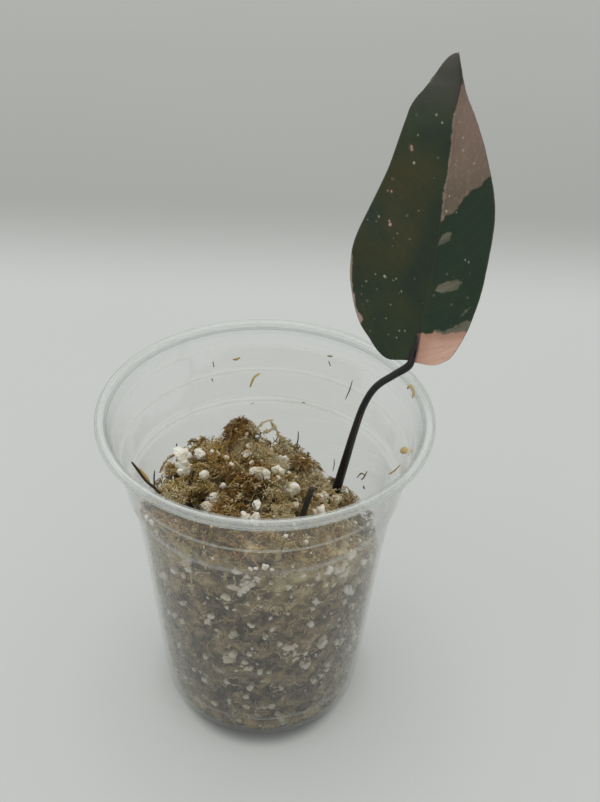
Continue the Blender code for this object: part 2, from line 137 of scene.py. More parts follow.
def meshPiece(name, points, faces, finish, slotName, values=None, node=None):
    # points in millimetres, one or more arrays of faces, and a number for each point by name
    faces = [f for f in (faces if isinstance(faces, list) else [faces]) if len(f)]
    mesh = bpy.data.meshes.new(name)
    mesh.vertices.add(len(points))
    mesh.vertices.foreach_set("co", (points * mm).astype(np.float32).ravel())
    corners = np.concatenate([f.ravel() for f in faces]).astype(np.int32)
    sizes = np.concatenate([np.full(len(f), f.shape[1]) for f in faces])
    mesh.loops.add(len(corners))
    mesh.loops.foreach_set("vertex_index", corners)
    mesh.polygons.add(len(sizes))
    mesh.polygons.foreach_set("loop_start", (np.cumsum(sizes) - sizes).astype(np.int32))
    mesh.update(calc_edges=True)
    mesh.shade_smooth()
    for key, numbers in (values or {}).items():
        mesh.attributes.new(key, "FLOAT", "POINT").data.foreach_set("value", numbers.astype(np.float32))
    mesh.materials.append(finish)
    made = bpy.data.objects.new(name, mesh)
    bpy.context.collection.objects.link(made)
    if slotName:
        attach(made, "root")
    if node:
        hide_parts(node)
    print(name, "has", int((sizes - 2).sum()), "triangles")
    return made


# Finishes

def toLinear(hexText):
    # an sRGB hex colour as linear red, green, blue and a full alpha
    tones = np.array([int(hexText[i:i + 2], 16) for i in (1, 3, 5)]) / 255
    linear = np.where(tones <= 0.04045, tones / 12.92, ((tones + 0.055) / 1.055) ** 2.4)
    return (*linear.tolist(), 1.0)


def addNode(tree, kind, settings, inputs):
    # a node, its settings, and its inputs linked to sockets or given numbers and hex colours
    made = tree.nodes.new(kind)
    for key, value in settings.items():
        if key == "stops":  # a ramp's colours as (place, hex)
            ramp = made.color_ramp.elements
            ramp.remove(ramp[1])
            ramp[0].position, ramp[0].color = value[0][0], toLinear(value[0][1])
            for place, hexText in value[1:]:
                ramp.new(place).color = toLinear(hexText)
        else:
            setattr(made, key, value)
    for key, value in inputs.items():
        if isinstance(value, bpy.types.NodeSocket):
            tree.links.new(value, made.inputs[key])
        else:
            made.inputs[key].default_value = toLinear(value) if isinstance(value, str) else value
    return made


def newFinish(name):
    # an empty material, its node tree, and the object coordinates that its patterns read, in metres
    made = bpy.data.materials.new(name)
    made.use_nodes = True
    made.node_tree.nodes.clear()
    return made, made.node_tree, addNode(made.node_tree, "ShaderNodeTexCoord", {}, {}).outputs["Object"]


def numberOf(tree, name):
    # the number that meshPiece gave each point under this name
    return addNode(tree, "ShaderNodeAttribute", {"attribute_name": name}, {}).outputs["Fac"]


def stretched(tree, place, scale):
    # the place times a scale for each axis: a small one draws a pattern out along that axis
    return addNode(tree, "ShaderNodeMapping", {}, {0: place, "Scale": scale}).outputs[0]


def noise(tree, place, scale, detail):
    # soft random numbers about 0.5, in lumps as long as the place's unit divided by the scale
    inputs = {"Vector": place, "Scale": scale, "Detail": detail}
    return addNode(tree, "ShaderNodeTexNoise", {}, inputs).outputs[0]


def mathOf(tree, operation, *numbers, clamp=False):
    # one step of arithmetic on sockets and numbers
    settings = {"operation": operation, "use_clamp": clamp}
    return addNode(tree, "ShaderNodeMath", settings, dict(enumerate(numbers))).outputs[0]


def slope(tree, value, low, high, atLow=0.0, atHigh=1.0, curve="LINEAR"):
    # from atLow where the value is low to atHigh where it is high, on a straight line
    return addNode(tree, "ShaderNodeMapRange", {"interpolation_type": curve}, {
        "Value": value, "From Min": low, "From Max": high, "To Min": atLow, "To Max": atHigh}).outputs[0]


def fade(tree, value, low, high, atLow=0.0, atHigh=1.0):
    # the same on an S curve, level at both ends
    return slope(tree, value, low, high, atLow, atHigh, "SMOOTHSTEP")


def lineAt(tree, value, middle, halfWidth, amount):
    # the amount where the value is the middle, fading to nothing at the half width on each side
    gap = mathOf(tree, "ABSOLUTE", mathOf(tree, "SUBTRACT", value, middle))
    return fade(tree, gap, halfWidth, 0.0, 0.0, amount)


def toneRamp(tree, value, stops):
    # the stops are places from 0 to 1 with their colours, and it is blended evenly between them
    return addNode(tree, "ShaderNodeValToRGB", {"stops": stops}, {0: value}).outputs[0]


def mixTones(tree, share, first, second, blend="MIX"):
    # the first colour, with this share of it turned into the second or multiplied by it
    settings = {"data_type": "RGBA", "blend_type": blend}
    return addNode(tree, "ShaderNodeMix", settings, {0: share, 6: first, 7: second}).outputs[2]


def reliefOf(tree, height, strength, depth):
    # a normal that leans with the height's slope, for relief of this depth in millimetres
    inputs = {"Strength": strength, "Distance": depth * mm, "Height": height}
    return addNode(tree, "ShaderNodeBump", {}, inputs).outputs[0]


def skinOf(tree, tone, roughness, relief=None, ior=1.5, specular=0.5):
    # an opaque coat: colour, roughness and relief, and how strongly it mirrors
    inputs = {"Base Color": tone, "Roughness": roughness, "IOR": ior, "Specular IOR Level": specular}
    if relief is not None:
        inputs["Normal"] = relief
    return addNode(tree, "ShaderNodeBsdfPrincipled", {}, inputs).outputs[0]


def mixShaders(tree, share, first, second):
    # this share of the second and the rest of the first
    return addNode(tree, "ShaderNodeMixShader", {}, {0: share, 1: first, 2: second}).outputs[0]


def endFinish(tree, shader):
    # the shader becomes what the material shows
    addNode(tree, "ShaderNodeOutputMaterial", {}, {"Surface": shader})


# Camera, floor and light

view = {
    "place": (0.0, -0.275905, 0.314216),
    "right": (0.99950844, -0.0153905, 0.02731323),
    "up": (-0.01279685, 0.59504643, 0.80358944),
    "back": (-0.02862028, -0.80354395, 0.59455698),
    "lens": 53.865,
    "sensor": 36.0,
    "nearest": 0.01,
}

camera = bpy.data.objects.new("camera", bpy.data.cameras.new("camera"))
camera.data.lens = view["lens"]
camera.data.sensor_width = view["sensor"]
camera.data.clip_start = view["nearest"]
rows = zip(view["right"], view["up"], view["back"], view["place"])
camera.matrix_world = Matrix((*rows, (0, 0, 0, 1)))
bpy.context.collection.objects.link(camera)
bpy.context.scene.camera = camera
bpy.context.scene.view_settings.view_transform = "Standard"

studio = {
    "paperReach": 3000.0,
    "paperLines": 13,
    "paperDrop": 0.02,  # under the cup's foot
    "nearTone": "#c9cbc9",  # matt paper under the cup
    "farShadeTone": "#a6a8a5",  # painted shade: the same paper just where a backdrop would turn away from the light
    "farthestShadeTone": "#b4b6b3",  # and at the picture's top, also painted shade
    "farthest": 700.0,
    "clouds": (0.97, 1.03),  # how unevenly the paper is lit, in patches about 250 mm wide
    "paintedGlow": 0.38,  # share of the paper's light that it gives off itself, a painted glow that softens the shadows
    "bend": 285.0,  # how far behind the cup the painted shade of its turn lies; the paper itself stays flat
    "bendSkew": -0.04,
    "bendSoftness": 110.0,
    # painted shade round the foot, in the paper's colour and in its glow: how far before the cup its middle
    # lies, the radii where it starts to clear and has cleared, and its tone at both
    "paintedGapShadow": (9.0, 22.2, 27.8, 0.4, 1.0),
    "paintedGlowShade": (1.6, 28.0, 40.0, 0.68, 0.97),
    "skyLow": "#b9bbb7",
    "skyHigh": "#e6e8e4",
    "skyTurn": (-0.1, 0.75),  # sine of the heights between which the sky brightens
    "skyStrength": 0.98,
    "lampPlace": (-0.15, 0.25, 1.1),
    "lampSize": 1.2,
    "lampPower": 3.9,
}

# Paper: matt and even, with painted shade behind the bend, where a backdrop would turn from the light, and a
# painted contact shadow in the narrow gap under the cup's rounded foot
paper, tree, place = newFinish("mattPaper")
split = addNode(tree, "ShaderNodeSeparateXYZ", {}, {0: place}).outputs
skewed = mathOf(tree, "MULTIPLY_ADD", split["X"], -studio["bendSkew"], split["Y"])
bendStart, bendEnd = (studio["bend"] + side * studio["bendSoftness"] / 2 for side in (-1, 1))
# painted shade of the backdrop's turn: the flat paper darkens past the bend line
beyond = slope(tree, skewed, studio["bend"] * mm, studio["farthest"] * mm)
farShadeTone = mixTones(tree, beyond, studio["farShadeTone"], studio["farthestShadeTone"])
tone = mixTones(tree, fade(tree, skewed, bendStart * mm, bendEnd * mm), studio["nearTone"], farShadeTone)
clouds = slope(tree, noise(tree, place, 4.0, 2.0), 0.0, 1.0, *studio["clouds"])
tone = mixTones(tree, 1.0, tone, clouds, "MULTIPLY")


def paintedFootShade(key):
    # painted shade: a fade with the distance from a point before the cup's foot
    ahead, start, end, atStart, atEnd = studio[key]
    middle = (0.0, -ahead * mm, 0.0)
    reach = addNode(tree, "ShaderNodeVectorMath", {"operation": "DISTANCE"}, {0: place, 1: middle})
    return fade(tree, reach.outputs["Value"], start * mm, end * mm, atStart, atEnd)


# painted contact shadow: the paper's colour darkens round the cup's foot
tone = mixTones(tree, 1.0, tone, paintedFootShade("paintedGapShadow"), "MULTIPLY")
# painted glow: the paper gives off light though it is no lamp, dimmer round the foot
paintedGlow = addNode(tree, "ShaderNodeEmission", {}, {"Color": tone, "Strength": paintedFootShade("paintedGlowShade")}).outputs[0]
endFinish(tree, mixShaders(tree, studio["paintedGlow"], skinOf(tree, tone, 0.9, specular=0.1), paintedGlow))

side = np.linspace(-studio["paperReach"], studio["paperReach"], studio["paperLines"])
x, y = np.meshgrid(side, side)
meshPiece("floor", np.stack([x, y, 0 * x - studio["paperDrop"]], -1).reshape(-1, 3),
          gridFaces(len(side), len(side), around=False), paper, None)

# the room: a soft dome, brighter overhead than round its sides
world = bpy.data.worlds.new("studio")
bpy.context.scene.world = world
world.use_nodes = True
dome = world.node_tree
direction = addNode(dome, "ShaderNodeTexCoord", {}, {}).outputs["Generated"]
upward = addNode(dome, "ShaderNodeSeparateXYZ", {}, {0: direction}).outputs["Z"]
sky = mixTones(dome, fade(dome, upward, *studio["skyTurn"]), studio["skyLow"], studio["skyHigh"])
dome.links.new(sky, dome.nodes["Background"].inputs["Color"])
dome.nodes["Background"].inputs["Strength"].default_value = studio["skyStrength"]

lamp = bpy.data.objects.new("softbox", bpy.data.lights.new("softbox", "AREA"))
lamp.data.shape = "DISK"
lamp.data.size = studio["lampSize"]
lamp.data.energy = studio["lampPower"]
lamp.location = studio["lampPlace"]
bpy.context.collection.objects.link(lamp)
lamp.rotation_mode = "QUATERNION"
lamp.rotation_quaternion = Vector(-np.array(studio["lampPlace"])).to_track_quat("-Z", "Y")
print("camera and light set")


# Cup

cup = {
    "around": 256,
    "sheet": 0.42,
    "rounding": 0.35,
    "lipCentre": (47.33, 105.4),
    "lipHollow": 1.08,
    "lipOuter": 1.6,
    "lipTurn": (-75, 180),
    "lipSteps": 22,
    "skin": [  # radius and height of the outer skin, from under the lip to the middle of the foot
        (45.6, 103.4), (44.4, 100.6), (43.7, 99.4), (42.9, 92.0), (42.2, 90.6), (41.2, 83.0), (40.8, 81.8),
        (39.5, 79.4), (38.4, 71.0), (37.0, 60.0), (32.6, 10.0), (32.0, 8.4), (31.6, 3.0), (31.2, 1.0),
        (30.4, 0.2), (29.5, 0.0), (0.0, 0.0)],
    "lines": [  # height, half width and haze of each bright line in the wall, a milky veil at the folds made strong enough to paint the steps' highlights
        (99.9, 0.4, 0.2), (91.1, 0.24, 0.8), (82.0, 0.25, 0.15), (80.7, 0.24, 0.7), (9.5, 0.36, 0.85),
        (4.5, 5.0, 0.05), (0.9, 0.5, 0.6)],
    "haze": 0.013,
    "dampHaze": 0.04,  # below the fill line, where the wall is misted
    "fillLine": (92.0, 78.0),
    "hazeTone": "#f1f3ee",
    "lipStart": (102.8, 103.6),
    "lipGlintLines": [(82, 9, 0.75), (8, 12, 0.3), (-34, 10, 0.4)],  # painted highlights: degrees round the lip's section
    "lipWaver": (0.75, 1.15),  # how far those lines brighten and dim along the lip
    "lipHaze": 0.18,
    "lipTone": "#f4f9f9",
    "knurls": 470,  # fine upright ribs round the lip
    "tint": "#fefefe",
    "edgeTint": "#7d8380",  # seen along the sheet
    "edgeHeights": (99.6, 101.2),  # the edge tint's share rises between them, up to the lip
    "edgeShares": (0.18, 0.85),
    "paintedDarkCurlLine": (-160, 9, 0.45),  # a painted dark line where the curl's inner turn bends the view: degrees, half width, darkness
    "gleam": (0.038, 0.8),  # mirrored straight on, and added at a glance
    "glossRoughness": 0.06,
}


def rounded(profile, reach, count=3):
    # each corner becomes a short parabola that starts and ends within reach of it
    a, b, c = profile[:-2], profile[1:-1], profile[2:]
    back, ahead = a - b, c - b
    start = b + unit(back) * np.minimum(reach, 0.4 * np.linalg.norm(back, axis=1))[:, None]
    end = b + unit(ahead) * np.minimum(reach, 0.4 * np.linalg.norm(ahead, axis=1))[:, None]
    t = np.linspace(0, 1, count)[None, :, None]
    arcs = (1 - t)**2 * start[:, None] + 2 * t * (1 - t) * b[:, None] + t**2 * end[:, None]
    return np.vstack([profile[:1], arcs.reshape(-1, 2), profile[-1:]])


def offsetInward(profile, depth):
    # the profile moved square to itself, towards the cup's inside
    along = unit(np.gradient(profile, axis=0))
    return profile + depth * np.stack([along[:, 1], -along[:, 0]], -1)


def makeCup(finish):
    # A profile turned about Z: radius times cos and sin of the turn, with the profile's height. It runs
    # up the inside from the axis, over the curled lip and back down the outside to the axis.
    outside = rounded(np.array(cup["skin"]), cup["rounding"])
    inside = offsetInward(outside, cup["sheet"])
    inside[-1, 0] = 0.0
    turn = np.radians(np.linspace(cup["lipTurn"][1], cup["lipTurn"][0], cup["lipSteps"]))
    arc = np.stack([np.cos(turn), np.sin(turn)], -1)
    lipOver = np.array(cup["lipCentre"]) + cup["lipOuter"] * arc
    lipUnder = np.array(cup["lipCentre"]) + cup["lipHollow"] * arc[::-1]
    profile = np.vstack([inside[::-1], lipOver, lipUnder, outside])
    radius, height = profile[1:-1].T
    turn = np.arange(cup["around"]) * 2 * np.pi / cup["around"]
    rings = np.stack([radius[:, None] * np.cos(turn), radius[:, None] * np.sin(turn),
                      height[:, None] + 0 * turn], -1)
    points = np.vstack([[0, 0, profile[0, 1]], rings.reshape(-1, 3), [0, 0, profile[-1, 1]]])
    faces = poleFaces(len(radius), cup["around"])
    return meshPiece("cup", points, faces, finish, "clear_plastic", None, "cup")


# Clear PET: thermoformed from thin sheet, so nearly colourless, with sharp white glints, part gloss and part
# painted highlight along the curled lip, and a faint milky veil that is thickest in the curled lip and the
# steps
clearPet, tree, place = newFinish("thermoformedClearPet")
facing = addNode(tree, "ShaderNodeLayerWeight", {}, {"Blend": 0.5}).outputs["Facing"]
rightward, backward, level = addNode(tree, "ShaderNodeSeparateXYZ", {}, {0: place}).outputs
fillStart, fillEnd = cup["fillLine"]
haze = fade(tree, level, fillStart * mm, fillEnd * mm, cup["haze"], cup["dampHaze"])
# the wall's bright lines: milky veil where the sheet folds, and painted highlight along the steps
for height, width, amount in cup["lines"]:
    haze = mathOf(tree, "ADD", lineAt(tree, level, height * mm, width * mm, amount), haze)
veil = slope(tree, noise(tree, place, 45.0, 3.0), 0.3, 0.7, 0.7, 1.3)  # in patches about 20 mm wide
haze = mathOf(tree, "MULTIPLY", haze, veil)
# painted highlights along the curled lip: bands of the angle round its section, which waver with the ribs and
# a noise
turn = mathOf(tree, "ARCTAN2", backward, rightward)
ribs = mathOf(tree, "SINE", mathOf(tree, "MULTIPLY", turn, float(cup["knurls"])))
flatPlace = addNode(tree, "ShaderNodeCombineXYZ", {}, {"X": rightward, "Y": backward}).outputs[0]
reach = addNode(tree, "ShaderNodeVectorMath", {"operation": "LENGTH"}, {0: flatPlace}).outputs["Value"]
outBy = mathOf(tree, "SUBTRACT", reach, cup["lipCentre"][0] * mm)
upBy = mathOf(tree, "SUBTRACT", level, cup["lipCentre"][1] * mm)
lipAngle = mathOf(tree, "ARCTAN2", upBy, outBy)
waver = mathOf(tree, "MULTIPLY_ADD", ribs, 0.08, noise(tree, flatPlace, 110.0, 0.0))
waver = slope(tree, waver, 0.35, 0.65, *cup["lipWaver"])
lipGlint = 0.0
for degrees, width, amount in cup["lipGlintLines"]:
    line = lineAt(tree, lipAngle, radians(degrees), radians(width), amount)
    lipGlint = mathOf(tree, "ADD", line, lipGlint)
lipGlint = mathOf(tree, "MULTIPLY", lipGlint, waver)
lipStart, lipFull = cup["lipStart"]
onLip = slope(tree, level, lipStart * mm, lipFull * mm)
lipHaze = mathOf(tree, "ADD", lipGlint, cup["lipHaze"])
haze = addNode(tree, "ShaderNodeMix", {}, {0: onLip, 2: haze, 3: lipHaze}).outputs[0]
lipDull = mathOf(tree, "MULTIPLY_ADD", lipGlint, -6.0, onLip, clamp=True)
hazeTone = mixTones(tree, lipDull, cup["hazeTone"], cup["lipTone"])
# the sheet is grey seen along it, most of all near the lip, and on one line of the curl a dark line is
# painted
alongSheet = mathOf(tree, "POWER", facing, 4.5)
edgeStart, edgeFull = cup["edgeHeights"]
edgeShare = slope(tree, level, edgeStart * mm, edgeFull * mm, *cup["edgeShares"])
degrees, width, amount = cup["paintedDarkCurlLine"]
paintedDarkCurlLine = lineAt(tree, lipAngle, radians(degrees), radians(width), amount)
bendSeen = mathOf(tree, "MULTIPLY", paintedDarkCurlLine, onLip)
edgeSeen = mathOf(tree, "MULTIPLY_ADD", alongSheet, edgeShare, bendSeen, clamp=True)
seenTint = mixTones(tree, edgeSeen, cup["tint"], cup["edgeTint"])
see = addNode(tree, "ShaderNodeBsdfTransparent", {}, {"Color": seenTint}).outputs[0]
milk = addNode(tree, "ShaderNodeBsdfDiffuse", {}, {"Color": hazeTone}).outputs[0]
milkBack = addNode(tree, "ShaderNodeBsdfTranslucent", {}, {"Color": hazeTone}).outputs[0]
body = mixShaders(tree, haze, see, mixShaders(tree, 0.5, milk, milkBack))
streaks = noise(tree, stretched(tree, place, (1.0, 1.0, 0.12)), 160.0, 2.0)  # about 6 mm apart, upright
shine = addNode(tree, "ShaderNodeBsdfGlossy", {}, {
    "Color": "#ffffff", "Roughness": cup["glossRoughness"],
    "Normal": reliefOf(tree, streaks, 0.2, 0.4)}).outputs[0]
gleamAhead, gleamAside = cup["gleam"]
mirror = mathOf(tree, "MULTIPLY_ADD", mathOf(tree, "POWER", facing, 5.0), gleamAside, gleamAhead)
endFinish(tree, mixShaders(tree, mirror, body, shine))
makeCup(clearPet)


# Leaf

leaf = {
    "midrib": [(41.5, 5.6, 120.6), (43.1, 8.0, 126.5), (45.3, 12.1, 139.0), (47.2, 16.8, 152.0),
               (48.6, 22.4, 167.0), (49.8, 28.0, 180.0), (51.0, 31.9, 189.5), (51.1, 33.9, 194.0),
               (50.2, 35.8, 199.1)],
    "leftEdge": [(1.2, 0.0), (6.6, -1.6), (10.5, -0.3), (15.2, 3.2), (18.5, 7.0), (22.2, 12.9),
                 (25.0, 19.0), (25.5, 25.0), (24.6, 31.4), (21.7, 43.0), (17.0, 54.7), (14.4, 65.8),
                 (13.7, 69.4), (12.2, 72.6), (10.0, 75.9), (8.3, 79.4), (6.0, 82.2), (4.0, 84.0),
                 (2.1, 85.2), (0.4, 85.7)],  # distance from the midrib and along it
    "rightEdge": [(1.2, 0.0), (7.8, 1.4), (11.5, 3.9), (13.2, 5.8), (14.8, 9.7), (16.1, 13.7), (17.0, 18.1),
                  (19.0, 28.3), (20.2, 39.3), (19.9, 50.2), (17.1, 59.7), (13.8, 65.8), (10.2, 70.2),
                  (6.6, 73.4), (4.0, 75.9), (2.4, 78.6), (2.0, 81.5), (1.8, 84.0), (0.4, 85.7)],
    "rows": 210,
    "rowsToBase": 1.5,  # power that draws the rows to the base
    "columns": 52,  # on each half
    "columnsToEdge": 1.15,  # power that draws the columns to the edge
    "facing": (38.0, 58.0),  # degrees it is turned, at the base and the tip
    "fold": (15.0, 30.0),
    "arch": 0.0035,
    "wave": (0.7, 26.0, 22.0),  # height, length along the edge, and the distance from the midrib it is for
    "thickness": (0.46, 0.16),  # at the midrib and the edge
    "groove": (0.9, 0.07),  # width and depth of the midrib's groove in front
    "ridge": (1.0, 0.75),  # width and height of its ridge behind
    "veinGap": 4.6,
    "veinLean": 0.62,
    "veinBend": 0.012,
    "veinRelief": (0.05, 0.10),  # in front and behind
}

leafMarks = {  # outlines as (distance from the midrib, distance along it), left negative
    "sector": [(0.9, 76.8), (0.3, 74.0), (-0.3, 71.3), (-0.5, 68.4), (-0.4, 66.1), (-0.3, 63.2),
               (0.1, 60.9), (0.1, 56.9), (-0.1, 52.2), (-0.4, 48.6), (-0.3, 45.1), (-0.1, 40.3),
               (1.7, 42.3), (4.2, 43.4), (6.4, 45.3), (8.9, 48.6), (11.4, 50.4), (14.0, 51.2),
               (16.4, 53.3), (18.4, 54.5), (24.0, 56.0), (24.0, 66.0), (12.0, 75.0), (3.5, 78.5)],
    "corner": [(0.6, -3.0), (0.9, 3.6), (-0.2, 6.5), (-0.3, 8.1), (1.3, 9.0), (3.4, 9.2), (5.3, 10.6),
               (8.7, 10.8), (11.5, 12.2), (14.3, 13.5), (18.5, 15.0), (18.0, 6.0), (12.0, -3.0)],
    "fringe": [(4.4, 9.4), (5.3, 11.1), (6.9, 11.3), (8.5, 11.7), (11.1, 13.7), (13.7, 15.4), (15.5, 16.9),
               (19.0, 18.5), (18.5, 10.0), (14.0, 10.5)],
    "strip": [(-26.5, 29.0), (-25.2, 26.5), (-24.9, 23.0), (-24.4, 19.0), (-23.4, 16.2), (-21.9, 13.6),
              (-20.6, 11.0), (-19.0, 9.2), (-17.2, 7.6), (-17.9, 6.0), (-27.0, 10.0), (-29.0, 24.0)],
    "blots": [[(0.1, 33.8), (1.1, 36.6), (3.5, 38.2), (5.2, 38.3), (4.6, 36.1), (2.4, 34.8)],
              [(2.5, 21.5), (3.1, 23.4), (5.7, 24.9), (9.4, 26.4), (11.4, 26.3), (10.4, 24.0), (7.1, 22.6),
               (4.8, 21.5)],
              [(12.6, 16.5), (13.9, 18.0), (15.6, 20.5), (13.4, 18.6)],
              [(-9.6, 77.8), (-8.3, 80.4), (-6.4, 83.2), (-6.0, 82.4), (-7.4, 79.8), (-8.8, 77.8)]],
    "spots": [(-11.2, 59.8, 0.34), (-11.0, 59.0, 0.42), (-15.9, 46.7, 0.26), (-17.1, 46.8, 0.24),
              (-15.1, 38.4, 0.3), (-14.7, 37.4, 0.42), (-15.9, 50.2, 0.24)],  # and the radius
    "flecks": [(-5.9, 7.5, 0.8), (-4.3, 7.9, 0.9), (-10.6, 9.9, 0.7), (-18.6, 11.9, 0.7),
               (-10.2, 14.2, 0.8), (-19.8, 14.8, 0.9), (-7.9, 18.8, 0.8), (-19.3, 19.0, 1.1),
               (-10.2, 22.1, 1.0), (-13.8, 21.9, 1.3), (-16.7, 21.8, 0.9), (-12.1, 35.2, 0.9),
               (-21.9, 37.6, 0.8), (-18.6, 39.0, 1.0), (-6.8, 42.5, 0.7), (-10.9, 21.4, 0.8),
               (-8.6, 18.2, 0.7), (-20.2, 17.2, 0.7), (-6.2, 5.2, 0.7), (-8.8, 5.4, 0.6),
               (-15.0, 50.5, 0.6), (-9.9, 55.5, 1.2), (-9.8, 62.8, 0.9), (-5.4, 68.5, 1.1),
               (-0.9, 17.1, 0.6), (-3.4, 66.8, 0.9), (-12.9, 33.6, 0.7), (-8.2, 34.2, 0.8),
               (-13.0, 31.2, 0.6), (-14.0, 8.8, 0.6), (3.5, 21.8, 0.6), (12.8, 31.9, 1.0),
               (11.5, 32.2, 0.8), (5.9, 43.9, 0.8), (2.3, 47.8, 1.1), (-3.7, 52.0, 0.7),
               (6.4, 60.2, 1.0), (9.9, 52.4, 0.5), (5.9, 63.5, 0.9), (3.0, 67.6, 0.7), (8.6, 58.0, 0.6),
               (11.8, 57.2, 0.8), (7.6, 55.6, 0.5), (4.0, 57.4, 0.6), (3.4, 56.2, 0.7), (9.0, 61.6, 0.5),
               (1.8, 43.6, 1.1)],
    "fleckSize": 0.33,
    # how soft and how ragged each outline is
    "lines": {"sector": (0.3, 0.55), "blots": (0.3, 0.4), "fringe": (0.35, 0.8), "corner": (0.3, 0.45),
              "strip": (0.3, 0.4), "spots": (0.22, 0.25), "flecks": (0.18, 0.14)},
}

leafTones = {  # a ramp lists its places and colours
    "green": [(0.3, "#222f23"), (0.5, "#283622"), (0.7, "#313d24")],
    "bronze": [(0.3, "#383a20"), (0.5, "#3d3b22"), (0.7, "#423e25")],
    "veins": "#3d4a38",
    "sector": [(0.25, "#7b685b"), (0.5, "#836e62"), (0.75, "#8b766b")],
    "sectorMottle": "#9c8579",
    "sectorLine": "#a08b7f",
    "olive": [(0.35, "#57584a"), (0.65, "#74705f")],
    "corner": [(0.2, "#c69c8c"), (0.48, "#d0a695"), (0.6, "#d6ae9d"), (0.8, "#dcb7a6")],
    "cornerShade": "#a97d6b",
    "strip": "#a58c82",
    "spots": "#b39a8c",
    "flecks": ("#a3a490", "#c9b8a4"),  # on green and on the sector
    "dust": "#8d8671",
    "midrib": "#4a4f40",
    "midribFootAndShade": "#2a2124",
    "under": [(0.3, "#4a3a38"), (0.6, "#5b4a41")],
}

leafBands = {  # one of the leaf's numbers, where the tone starts and where it is full, its share and colour
    # the right half's blue green: partly its own tone, partly painted sky sheen
    "coolHalfAndSheen": ("across", -1.0, 4.0, 0.55, "#1e3424"),
    # painted greyish sheen over the upper blade
    "paintedSheenEnd": ("along", 60.0, 84.0, 0.8, "#52504a"),
    "brownTip": ("along", 80.5, 86.0, 0.85, "#655d57"),
    "sectorBase": ("along", 64.0, 46.0, 0.75, "#665b4b"),
    "rustyHalo": ("spots", -1.0, 0.1, 0.4, "#5d3f2a"),
    "paleEdge": ("part", 0.982, 0.998, 0.5, "#75685f"),
}


def bladePoints(across, along):
    # A point of the folded blade: the midrib's point, plus cos fold times the distance across, plus a lift.
    # The lift is sin fold times the distance, less the arch times its square, plus a slow wave at the edges.
    line, lengths = measuredCurve(leaf["midrib"])
    tangents = unit(np.gradient(line, axis=0))
    held = np.clip(along, 0, lengths[-1])
    centre = np.stack([np.interp(held, lengths, line[:, i]) for i in range(3)], axis=-1)
    forward = unit(np.stack([np.interp(held, lengths, tangents[:, i]) for i in range(3)], axis=-1))
    share = (held / lengths[-1]) ** 2
    facing = np.radians(leaf["facing"][0] + (leaf["facing"][1] - leaf["facing"][0]) * share)
    fold = np.radians(leaf["fold"][0] + (leaf["fold"][1] - leaf["fold"][0]) * share)[..., None]
    level = np.stack([np.cos(facing), -np.sin(facing), np.zeros_like(facing)], axis=-1)
    aside = unit(level - (level * forward).sum(-1, keepdims=True) * forward)
    front = np.cross(aside, forward)
    across, along = across[..., None], along[..., None]
    height, period, width = leaf["wave"]
    lift = np.sin(fold) * abs(across) - leaf["arch"] * across**2
    lift = lift + height * np.sin(2 * np.pi * along / period) * (across / width) ** 2
    return centre + (along - held[..., None]) * forward + np.cos(fold) * across * aside + lift * front


def outlineDistance(across, along, outline):
    # signed distance in millimetres to a closed outline, positive inside
    points = np.stack([across, along], -1)[..., None, :]
    a = np.array(outline, float)
    b = np.roll(a, -1, axis=0)
    step = b - a
    share = np.clip(((points - a) * step).sum(-1) / (step**2).sum(-1), 0, 1)
    near = np.linalg.norm(points - a - share[..., None] * step, axis=-1).min(-1)
    above = (a[:, 1] > points[..., 1]) != (b[:, 1] > points[..., 1])
    crossing = a[:, 0] + (points[..., 1] - a[:, 1]) * step[:, 0] / np.where(step[:, 1] == 0, 1e-9, step[:, 1])
    inside = (above & (points[..., 0] < crossing)).sum(-1) % 2 == 1
    return np.where(inside, near, -near)


def spotDistance(across, along, spots):
    # signed distance to the nearest of some round spots, positive inside
    spots = np.array(spots, float)
    gap = np.hypot(across[..., None] - spots[:, 0], (along[..., None] - spots[:, 1]))
    return (spots[:, 2] - gap).max(-1)


